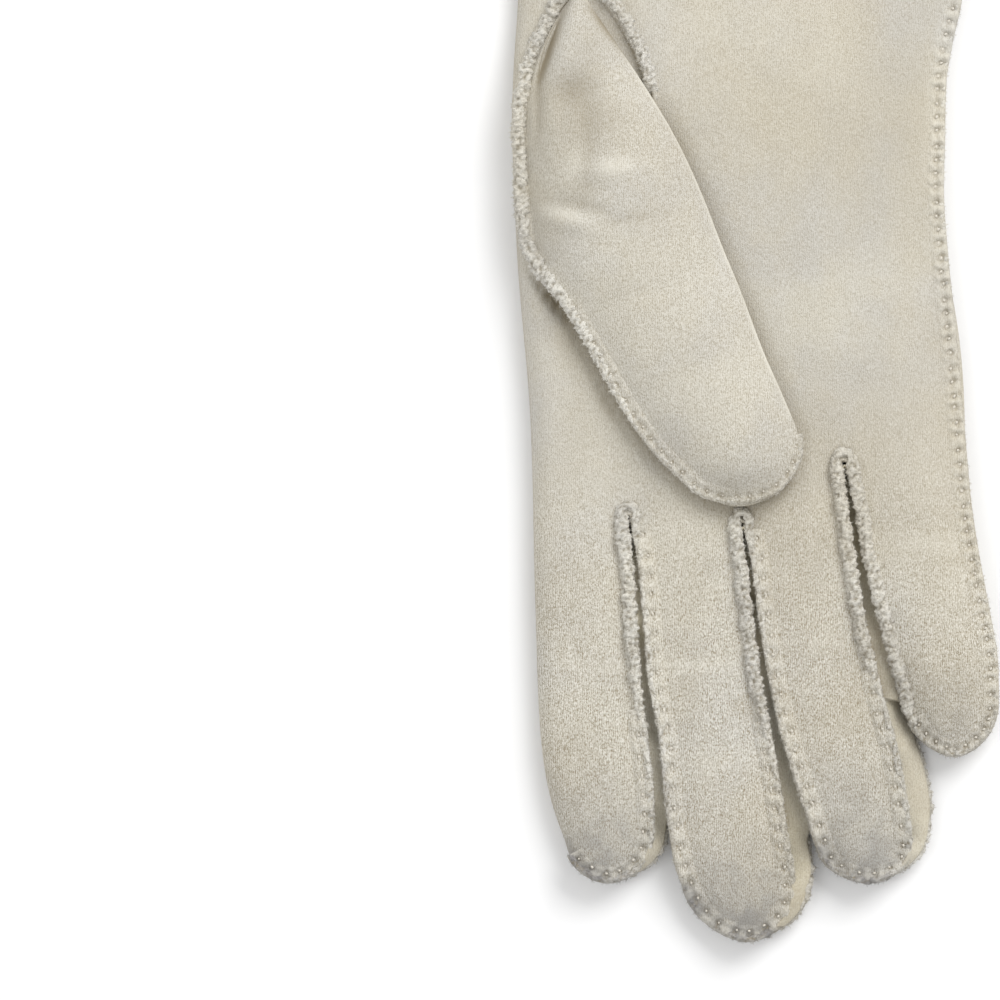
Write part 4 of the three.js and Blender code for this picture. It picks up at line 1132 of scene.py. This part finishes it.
@dataclass
class RawEdge:
    """The frayed raw edge of a seam: a lumpy rope of threads with loose fibres."""

    name: str
    line: Line
    radius: np.ndarray
    rise: np.ndarray
    heights: np.ndarray
    face: Face = Face.PALM
    sides: int = 20
    hairs: float = 14.0
    hair_length: float = 0.55
    nubs: float = 0.75
    longest: int = 700
    seed: int = 1

    def build(self, finish: bpy.types.Material) -> None:
        """Builds the edge with its fibres, as pieces end to end.

        Args:
            finish: its material.
        """
        rows = np.array([
            [self._skin(station, column / self.sides) for column in range(self.sides + 1)]
            for station in range(len(self.line))
        ])
        count = math.ceil(len(rows) / self.longest)
        cuts = np.linspace(0, len(rows) - 1, count + 1).round().astype(int)
        for number, (first, last) in enumerate(zip(cuts[:-1], cuts[1:])):
            shape = tube(rows[first:last + 1])
            self._grow_hairs(rows, int(first), int(last)).add_to(shape)
            name = f"{self.name}_{number}"
            finish_piece(name, mesh_from(name, shape), finish)

    def _skin(self, station: int, turn: float) -> tuple[float, float, float, float]:
        """A point of the rope's skin.

        Args:
            station: its station on the line.
            turn: its angle round the rope in turns.

        Returns:
            The place in millimetres, and the shade painted on it between the threads and on the rope's
            underside.
        """
        angle = 2 * math.pi * (turn % 1.0)
        x, y = self.line.points[station]
        nx, ny = self.line.sides[station]
        out, up = math.cos(angle), math.sin(angle)
        size = self.radius[station]
        here = Vector((x + nx * out * size, y + ny * out * size, up * self.rise[station]))
        swell = noise.noise(here / 2.1 + Vector((self.seed, 0, 0))) * 0.30
        tuft = noise.noise(here / 0.95 + Vector((7, 3, self.seed))) * 0.24
        gap = noise.voronoi(here / 0.78 + Vector((self.seed, 9, 1)))[0][0]
        lump = 1.04 + swell + tuft + self.nubs * (0.42 - gap)
        side, rise = out * size * lump, up * self.rise[station] * lump
        # Painted shade on the rope's underside and in the crevices between its nubs
        low = max(0.0, -up) * 0.35
        depth = min(max(2.4 * (gap - 0.53) - 0.5 * (swell + tuft) + low, 0.0), 0.85)
        return x + nx * side, y + ny * side, max(self.heights[station] + rise, 0.05), depth

    def _grow_hairs(self, rows: np.ndarray, first: int, last: int) -> Fuzz:
        """Grows loose fibres out of the rope's open side.

        Args:
            rows: the rope's skin.
            first: the first station that they grow from.
            last: the last one.

        Returns:
            The fibres.
        """
        fuzz = Fuzz(self.seed * 100 + first)
        for _ in range(int((last - first) * self.line.step * self.hairs)):
            station = fuzz.rng.randrange(first, last)
            turn = fuzz.rng.uniform(-0.1, 0.6) if self.face is Face.PALM else fuzz.rng.uniform(0.4, 1.1)
            root = Vector(rows[station, round((turn % 1.0) * self.sides)][:3])
            middle = Vector((*self.line.points[station], self.heights[station]))
            fuzz.grow(root, (root - middle).normalized(), self.hair_length * fuzz.rng.uniform(0.45, 1.25))
        return fuzz


@dataclass
class SewnBorder:
    """The puckered cloth along a flat raw edge, with its row of stitches."""

    name: str
    line: Line
    surface: Surface
    pitch: float
    inset: float = 2.0
    reach: float = 4.2
    outer: float = -0.1
    columns: int = 17
    puff: float = 0.5
    dimple: float = 0.6
    slant: float = 0.0
    size: float = 0.6
    bead: tuple[float, float] = (0.5, 0.44)
    seam_width: float = 1.7
    lumps: float = 0.22
    seed: int = 1

    def build(self, cloth: bpy.types.Material, thread: bpy.types.Material) -> None:
        """Builds the border's cloth and its stitches.

        Args:
            cloth: the cloth's material.
            thread: the thread's material.
        """
        rng = random.Random(self.seed)
        offsets = np.linspace(self.outer, self.reach, self.columns + 1)
        table = self.surface.profile(self.line, offsets, Face.PALM)
        edge = running_mean(running_top(table[:, offsets < self.seam_width].max(axis=1), 1), 3)
        inner = running_mean(table[:, -1], 3)
        share = np.clip((offsets - self.seam_width * 0.6) / (self.reach - self.seam_width * 0.6), 0, 1)
        share = share**2 * (3 - 2 * share)
        table = np.maximum(edge[:, None] * (1 - share) + inner[:, None] * share, running_mean(table, 2))
        table = running_mean(table.T, 1).T
        length = (len(self.line) - 1) * self.line.step
        marks = [(i + 0.5) * self.pitch + rng.uniform(-0.4, 0.4) for i in range(int(length / self.pitch))]
        powers = [rng.uniform(0.4, 1.5) for _ in range(len(marks) + 1)]
        rows = np.zeros((len(self.line), self.columns + 1, 4))
        for station in range(len(self.line)):
            along = station * self.line.step
            for column, offset in enumerate(offsets):
                x, y = self.line.points[station] + self.line.sides[station] * offset
                lift, painted_shading = self._relief(x, y, along, offset, marks, powers)
                rows[station, column] = (x, y, table[station, column] + lift, painted_shading)
        finish_piece(self.name, mesh_from(self.name, sheet(rows, 0.35)), cloth)
        beads = bmesh.new()
        for mark in marks:
            station = min(round(mark / self.line.step), len(self.line) - 1)
            column = int(np.argmin(abs(offsets - self.inset + rng.uniform(-0.2, 0.2))))
            place = rows[station, column][:3] + (0, 0, self.dimple * 0.75)
            angle = self.line.heading(station) + math.radians(self.slant) + rng.uniform(-0.3, 0.3)
            size = (self.size * rng.uniform(0.75, 1.25), *self.bead)
            add_stitch(beads, place, angle, size, 5)
        finish_piece(f"{self.name}_stitches", mesh_from("stitches", beads), thread)

    def _relief(
        self, x: float, y: float, along: float, offset: float, marks: list[float], powers: list[float]
    ) -> tuple[float, float]:
        """The puckers at a place.

        Args:
            x: the place across the glove.
            y: the place down it.
            along: how far along the border it is.
            offset: how far inside the raw edge it is.
            marks: how far along each stitch is.
            powers: how much the cloth puffs up before each stitch.

        Returns:
            How far the cloth rises, and the shade painted there, a painted highlight where below 0.
        """
        number = int(np.searchsorted(marks, along))
        start = marks[number - 1] if number else -self.pitch / 2
        end = marks[number] if number < len(marks) else start + self.pitch
        wave = math.sin(math.pi * min(max((along - start) / (end - start), 0), 1)) ** 1.5
        across = offset - self.inset
        outer = math.exp(-(((offset - self.inset * 0.45) / 0.85) ** 2))
        puff = self.puff * wave * powers[number] * (outer + 0.55 * math.exp(-(((across - 0.7) / 0.8) ** 2)))
        near = min((along - mark for mark in marks[max(number - 1, 0):number + 1]), key=abs, default=9.0)
        turn = math.radians(self.slant)
        long = near * math.cos(turn) + across * math.sin(turn)
        wide = across * math.cos(turn) - near * math.sin(turn)
        pit = math.exp(-((long / 0.58) ** 2) - (wide / 0.46) ** 2)
        lumps = noise.noise(Vector((x / 1.5, y / 1.5, self.seed)))
        lumps += 0.7 * noise.noise(Vector((x, y, self.seed)) / 0.7)
        inner = ease((self.reach - offset) / 1.9)
        sink = 0.3 * (1 - inner) + 0.45 * ease((0.5 - offset) / 0.6)
        lift = (0.1 + puff + self.lumps * lumps) * inner - self.dimple * pit - sink
        rim = ease((2.4 - offset) / 1.2)
        # Painted shade in the stitches' pits, and a painted highlight on the puffs and on the high lumps near
        # the rim
        painted_shade = (0.7 * pit - 0.5 * puff - 0.5 * lumps * self.lumps / 0.22 * rim) * inner
        return lift, min(max(painted_shade, -0.24), 0.85)


@dataclass
class StitchRow:
    """A plain row of running stitches."""

    name: str
    line: Line
    heights: np.ndarray
    face: Face
    pitch: float
    length: float = 1.15
    thickness: float = 0.34
    seed: int = 1

    def build(self, finish: bpy.types.Material) -> bpy.types.Object:
        """Builds the row.

        Args:
            finish: the thread's material.

        Returns:
            The piece.
        """
        rng = random.Random(self.seed)
        shape = bmesh.new()
        every = self.pitch / self.line.step
        for i in range(int((len(self.line) - 1) / every)):
            station = min(int((i + 0.5 + rng.uniform(-0.1, 0.1)) * every), len(self.line) - 1)
            z = max(self.heights[station] + 0.05 * self.face.value, self.thickness / 2)
            angle = self.line.heading(station) + rng.uniform(-0.2, 0.2)
            size = (self.length * rng.uniform(0.85, 1.15), self.thickness * 1.3, self.thickness)
            add_stitch(shape, (*self.line.points[station], z), angle, size, 6)
        return finish_piece(self.name, mesh_from(self.name, shape), finish)


@dataclass
class Finishes:
    """The glove's materials, made once."""

    cloth: bpy.types.Material
    strip: bpy.types.Material
    frayed: bpy.types.Material
    thread: bpy.types.Material


@dataclass
class PalmSeams:
    """The palm's seams: raw edges that stand beside the slots and lie flat round the fingertips."""

    surface: Surface
    finishes: Finishes
    standing_radius: float = 1.36
    flat_radius: float = 0.62
    half_flange: float = 1.12
    finger_pitch: float = 3.9
    side_pitch: float = 2.75

    def build(self) -> None:
        """Builds the fingers' seams and the side seam."""
        self._sew("palm_edge", Line(self._finger_points()), self.finger_pitch, 1)
        self._sew("side_edge", Line(self._side_points()), self.side_pitch, 2)

    def _finger_points(self) -> list[Point]:
        """The raw edge from the index finger's tip, up and down the slots, to the little finger's tip."""
        points = FINGERS[0].end(start=20.0)
        for number, (x, y) in enumerate(SLOT_TOPS):
            points += reversed(FINGERS[number].edge("right")[:-1])
            last = number == len(SLOT_TOPS) - 1
            top = 1.0 if last else 0.75
            points += [(x - 0.4, y - 0.9, 0.8), (x, y, 0.66), (x + 0.4, y - 0.9, 0.75 * top)]
            following = FINGERS[number + 1]
            stop = 30.0 if last else 180.0
            points += following.edge("left")[:-1] + following.end(stop=stop)
        return points

    @staticmethod
    def _side_points() -> list[Point]:
        """The raw edge from the little finger's tip to the cuff."""
        little = FINGERS[-1]
        points = [(x, y, 0.0) for x, y, _ in little.end(start=24.0)]
        points += [(x, y, 0.0) for x, y in reversed(little.right[:-1])]
        return points + [(x, y, 0.0) for x, y in SIDE_EDGE]

    def _sew(self, name: str, line: Line, pitch: float, seed: int) -> None:
        """Builds one seam.

        Args:
            name: its name.
            line: its raw edge.
            pitch: the distance between its stitches.
            seed: the seed of its lumps.
        """
        upright = np.clip(line.values[:, 0], 0, 1)
        radius = self.flat_radius + (self.standing_radius - self.flat_radius) * upright
        tops = self.surface.profile(line, np.arange(0.2, 3.4, 0.4), Face.PALM)
        top = running_mean(np.max(tops[:, :6], axis=1), 4)
        core = line.part(0, len(line))
        core.points = line.points + line.sides * (radius * 0.88)[:, None]
        under = running_mean(self.surface.profile(line, (0.4, 0.8), Face.BACK).max(axis=1), 4)
        sewn = np.clip((4.2 - (top - under)) / 1.2, 0, 1) * (1 - upright)
        rise = radius * (1 - sewn) + self.half_flange * sewn
        heights = (top - radius * 0.2) * (1 - sewn) + (top + under) / 2 * sewn
        RawEdge(name, core, radius, rise, running_mean(heights, 3), seed=seed).build(self.finishes.frayed)
        flat = np.flatnonzero(upright < 0.45)
        runs = np.split(flat, np.flatnonzero(np.diff(flat) > 1) + 1)
        sewing = {"inset": 1.6, "slant": -38.0, "size": 0.7} if name == "side_edge" else {"inset": 1.95}
        for number, run in enumerate(run for run in runs if len(run) * STEP > 6):
            SewnBorder(
                f"{name}_border_{number}", line.part(run[0], run[-1] + 1), self.surface, pitch,
                seed=seed * 10 + number, **sewing,
            ).build(self.finishes.cloth, self.finishes.thread)


@dataclass
class ThumbSeams:
    """The seam that sets the thumb into its hole and runs on round the thumb's edge."""

    surface: Surface
    finishes: Finishes
    hole_radius: float = 1.38
    turn_radius: float = 1.6
    crotch_radius: float = 1.3
    edge_radius: float = 0.62
    half_flange: float = 1.15
    pitch: float = 3.2
    last_turn: float = 158.0
    palm_height: float = 9.0
    covered_length: float = 18.0
    covered_below: float = 49.5

    def build(self) -> None:
        """Builds the raw edge and the sewn border."""
        end = rounded_end(THUMB_EDGE[-1], THUMB_END_RIGHT, THUMB_TIP, 0.0, self.last_turn)
        edge = [*THUMB_EDGE[:-1], *end]
        hole = [(x, y, self.hole_radius, 0.0) for x, y in HOLE_SEAM]
        flat_from = [ease((-3.0 - y) / 14.0) for _, y in edge]
        crotch = [
            (x, y, self.crotch_radius + (self.edge_radius - self.crotch_radius) * share, 1.0)
            for (x, y), share in zip(edge, flat_from)
        ]
        hole[-1] = (*hole[-1][:2], self.turn_radius, 0.7)
        crotch[0] = (*crotch[0][:2], self.turn_radius, 1.0)
        line = Line(hole + crotch)
        radius, inset = line.values[:, 0], np.clip(line.values[:, 1], 0, 1)
        core = line.part(0, len(line))
        core.points = line.points + line.sides * (radius * 0.8 * inset)[:, None]
        tops = self.surface.profile(core, (-0.5, 0.0, 0.5), Face.PALM)
        top = running_mean(tops.max(axis=1), 5)
        start = np.arange(len(line)) * STEP < self.covered_length
        covered = start & (line.points[:, 1] < self.covered_below)
        top = running_mean(np.where(covered, self.palm_height, top), 3)
        heights = top - radius * 0.5 * (1 - inset) - 0.75 * inset
        rise = radius * (1 - inset) + np.maximum(radius * 0.85, self.half_flange * 0.85) * inset
        RawEdge("thumb_edge", core, radius, rise, heights, seed=7).build(self.finishes.frayed)
        flat = Line([(x, y) for x, y in edge[1:]])
        SewnBorder(
            "thumb_border", flat, self.surface, self.pitch, inset=1.35, reach=3.6, puff=0.06, dimple=0.2,
            size=0.4, seam_width=1.3, lumps=0.24, seed=70,
        ).build(self.finishes.cloth, self.finishes.thread)


@dataclass
class FingerStrips:
    """The strips between the fingers, as far as they show, and the raw edges of the back that they end in."""

    surface: Surface
    finishes: Finishes
    depth: float = -0.3
    sunk_above: float = 1.4
    raised_below: float = 0.5
    fall: float = 0.6
    lap: float = 0.7
    columns: int = 10
    ends: tuple[float, ...] = (-98.0, -100.5, -200.0)
    edge_radius: float = 1.15
    edge_rise: float = 0.7
    pitch: float = 3.9

    def build(self) -> None:
        """Builds the three strips."""
        for slot in range(len(SLOT_TOPS)):
            self._strip(slot)
            self._back_edges(slot)

    def _strip(self, slot: int) -> None:
        """Builds one strip, from the palm's raw edge down to the back's.

        Args:
            slot: the number of its slot.
        """
        finger, following = FINGERS[slot], FINGERS[slot + 1]
        palm_points = [(x, y) for x, y in finger.right]
        back_points = [(x + back_shift(slot, y), y) for x, y in finger.right]
        palm_points += rounded_end(finger.left[-1], finger.right[-1], finger.tip, 172, 132, 8)
        back_points += rounded_end(back_start(slot), back_points[-1], finger.tip, 172, 132, 8)
        palm, back = Line(palm_points), Line(back_points)
        count = min(len(palm), len(back))
        straight = abs(finger.right[-1][1] - finger.right[0][1])
        tops = running_mean(self.surface.profile(palm, (-1.6, -1.0, -0.4), Face.PALM).mean(axis=1), 6)
        rows = np.zeros((count, self.columns + 1, 4))
        next_x = [row[0] for row in following.left[::-1]]
        next_y = [row[1] for row in following.left[::-1]]
        for i in range(count):
            station = round(i / (count - 1) * (len(palm) - 1))
            p = palm.points[station]
            b = back.points[round(i / (count - 1) * (len(back) - 1))].copy()
            share = min(i * STEP / straight, 1.0)
            opening = HALF_SEAM + OPEN_SEAM * (1 - share**3)
            beside = ease((p[1] - self.ends[slot]) / 5.0) if p[1] > next_y[0] else 0.0
            high = tops[station] - self.depth - self.sunk_above * ease((p[1] + 62) / 12)
            high += self.raised_below * ease((-60 - p[1]) / 10)
            low = (SEAM_Z - opening + 1.0) * (1 - beside) + (high - self.fall) * beside
            reach = float(np.interp(p[1], next_y, next_x)) + 0.9
            b[0] += max(reach - b[0], 0.0) * beside
            for j in range(self.columns + 1):
                v = j / self.columns
                x = p[0] - self.lap + (b[0] - 0.5 * (1 - beside) - p[0] + self.lap) * v
                y = p[1] + (b[1] - p[1]) * v
                z = high + (low - high) * v**1.15
                # The fourth value paints shade in a thin line along the strip beside the palm's raw edge
                rows[i, j] = (x, y, z, 0.7 * ease(1.2 - v * 3.2) * beside)
        name = f"strip_{finger.name}_{following.name}"
        mesh = mesh_from(name, sheet(rows, 0.5))
        finish_piece(name, mesh, self.finishes.strip)

    def _back_edges(self, slot: int) -> None:
        """Builds the back's raw edges on both sides of one slot, with their stitches.

        Args:
            slot: the number of the slot.
        """
        points: list[Point] = []
        for number, side in ((slot, "right"), (slot + 1, "left")):
            finger = FINGERS[number]
            rows = [(x + back_shift(slot, y), y) for x, y in getattr(finger, side)]
            if side == "right":
                arc = rounded_end(back_start(slot), rows[-1], finger.tip, 100, 176, 8)
                points += [*arc, *reversed(rows[:-1]), SLOT_TOPS[slot]]
            else:
                points += rows
        line = Line(points)
        radius = np.full(len(line), self.edge_radius)
        core = line.part(0, len(line))
        core.points = line.points + line.sides * (self.edge_radius * 0.9)
        low = self.surface.profile(core, (-0.4, 0.0, 0.4), Face.BACK).min(axis=1)
        heights = running_mean(low, 4) + self.edge_rise * 1.3
        name = f"back_edge_{FINGERS[slot].name}_{FINGERS[slot + 1].name}"
        RawEdge(name, core, radius, radius * 0 + self.edge_rise, heights, face=Face.BACK, sides=14, hairs=8.0,
                seed=20 + slot).build(self.finishes.frayed)
        inner = Line(points, inset=2.0)
        heights = self.surface.profile(inner, (0.0,), Face.BACK)[:, 0]
        StitchRow(f"{name}_stitches", inner, heights, Face.BACK, self.pitch, seed=30 + slot).build(
            self.finishes.thread)


@dataclass
class LooseThread:
    """The curl of loose thread at the little finger's end."""

    finishes: Finishes
    x: float = 38.7
    y: float = -82.2
    z: float = 4.6
    width: float = 3.2
    radius: float = 0.26
    first_turn: float = -0.3
    last_turn: float = 4.4
    swing: float = 1.9

    def build(self) -> None:
        """Builds the curl."""
        curve = new_curve("curl", self.radius * MM, 2)
        spline = curve.splines.new("POLY")
        turns = np.linspace(self.first_turn, self.last_turn, 40)
        spline.points.add(len(turns) - 1)
        for point, turn in zip(spline.points, turns):
            swung = turn * self.swing
            along = self.x + self.width * (turn / self.last_turn - 0.5) + 0.5 * math.cos(swung)
            place = Vector((along, self.y + 0.55 * math.sin(swung), self.z + 0.25 * math.sin(turn)))
            point.co = (*(place * MM), 1.0)
        mesh = evaluated_mesh(curve)
        mesh.name = "loose_thread"
        finish_piece("loose_thread", mesh, self.finishes.thread)


@dataclass
class CuffHem:
    """The stitches of the cuff's hem on both faces, and those of the side seam on the back."""

    surface: Surface
    finishes: Finishes
    y: float = 109.6
    pitch: float = 2.75

    def build(self) -> None:
        """Builds the rows."""
        thread = self.finishes.thread
        for face in Face:
            line = Line([(-41.0, self.y), (0.0, self.y), (40.0, self.y)])
            heights = self.surface.profile(line, (0.0,), face)[:, 0]
            name = f"hem_stitches_{face.name.lower()}"
            StitchRow(name, line, heights, face, self.pitch, seed=80 + face.value).build(thread)
        points = [FINGERS[-1].right[1], FINGERS[-1].right[0], *SIDE_EDGE]
        line = Line(points, inset=1.85)
        heights = self.surface.profile(line, (0.0,), Face.BACK)[:, 0]
        StitchRow("side_back_stitches", line, heights, Face.BACK, self.pitch, seed=85).build(thread)


@dataclass
class Studio:
    """A plain pale floor, soft lights, and the camera over the glove."""

    floor_size: float = 6.0
    distance: float = 2.0
    field_width: float = 0.2
    centre: tuple[float, float] = (-0.0503, -0.0324)
    sensor: float = 36.0
    sky: float = 0.7

    def build(self) -> None:
        """Builds the studio."""
        shape = bmesh.new()
        bmesh.ops.create_grid(shape, x_segments=1, y_segments=1, size=self.floor_size / 2)
        mesh = mesh_from("floor", shape)
        mesh.materials.append(FloorFinish().material())
        floor = add_object("floor", mesh)
        self._camera()
        self._light("key", (0.62, 0.85, 1.0), 0.9, 15.0)
        self._light("fill", (-0.9, -0.3, 1.1), 1.2, 3.5)
        world = bpy.data.worlds.new("studio")
        world.use_nodes = True
        backdrop = world.node_tree.nodes["Background"]
        backdrop.inputs["Color"].default_value = (1, 1, 1, 1)
        backdrop.inputs["Strength"].default_value = self.sky
        bpy.context.scene.world = world
        bpy.context.scene.view_settings.view_transform = "Standard"

    def _camera(self) -> None:
        """Sets the camera straight above, framed as the photograph is."""
        data = bpy.data.cameras.new("camera")
        data.sensor_width = self.sensor
        data.lens = self.sensor * self.distance / self.field_width
        data.clip_start, data.clip_end = 0.01, 20.0
        camera = add_object("camera", data)
        camera.location = (*self.centre, self.distance)
        bpy.context.scene.camera = camera

    def _light(self, name: str, place: tuple[float, float, float], size: float, power: float) -> None:
        """Adds a soft square light that faces the glove.

        Args:
            name: its name.
            place: where it stands, in metres.
            size: its side, in metres.
            power: its power in watts.
        """
        data = bpy.data.lights.new(name, "AREA")
        data.size = size
        data.energy = power
        lamp = add_object(name, data)
        lamp.location = place
        lamp.rotation_euler = (-Vector(place)).to_track_quat("-Z", "Y").to_euler()
        lamp.visible_camera = False


def main() -> None:
    """Builds the glove and its studio."""
    logging.basicConfig(level=logging.INFO, format="%(message)s")
    thumb_rim = [*THUMB_EDGE[:-1], *rounded_end(THUMB_EDGE[-1], THUMB_END_RIGHT, THUMB_TIP, 0.0, 120.0)]
    cloths = [
        ClothPiece("trank", CLOTH, "cloth", PALM_CREASES, shadow=tuple(thumb_rim)),
        ClothPiece("thumb", CLOTH, "cloth", THUMB_CREASES, levels=3, lowest=9.4, fold=THUMB_FOLD),
        ClothPiece("fourchette_index_middle", LIT_STRIP_CLOTH, "strip_cloth", lowest=9.0, ends_at=-101.0),
        ClothPiece("fourchette_middle_ring", LIT_STRIP_CLOTH, "strip_cloth", lowest=9.0, ends_at=-103.0),
        ClothPiece("fourchette_ring_little", LIT_STRIP_CLOTH, "strip_cloth", lowest=9.0),
    ]
    for cloth in cloths:
        cloth.shape()
    surface = Surface(cloths)
    for cloth in cloths:
        cloth.dress(surface)
    finishes = Finishes(
        cloth=bpy.data.materials[CLOTH.name], strip=bpy.data.materials[LIT_STRIP_CLOTH.name],
        frayed=FRAYED.material(), thread=ThreadFinish().material(),
    )
    PalmSeams(surface, finishes).build()
    ThumbSeams(surface, finishes).build()
    FingerStrips(surface, finishes).build()
    CuffHem(surface, finishes).build()
    LooseThread(finishes).build()
    Studio().build()


if __name__ == "__main__":
    main()
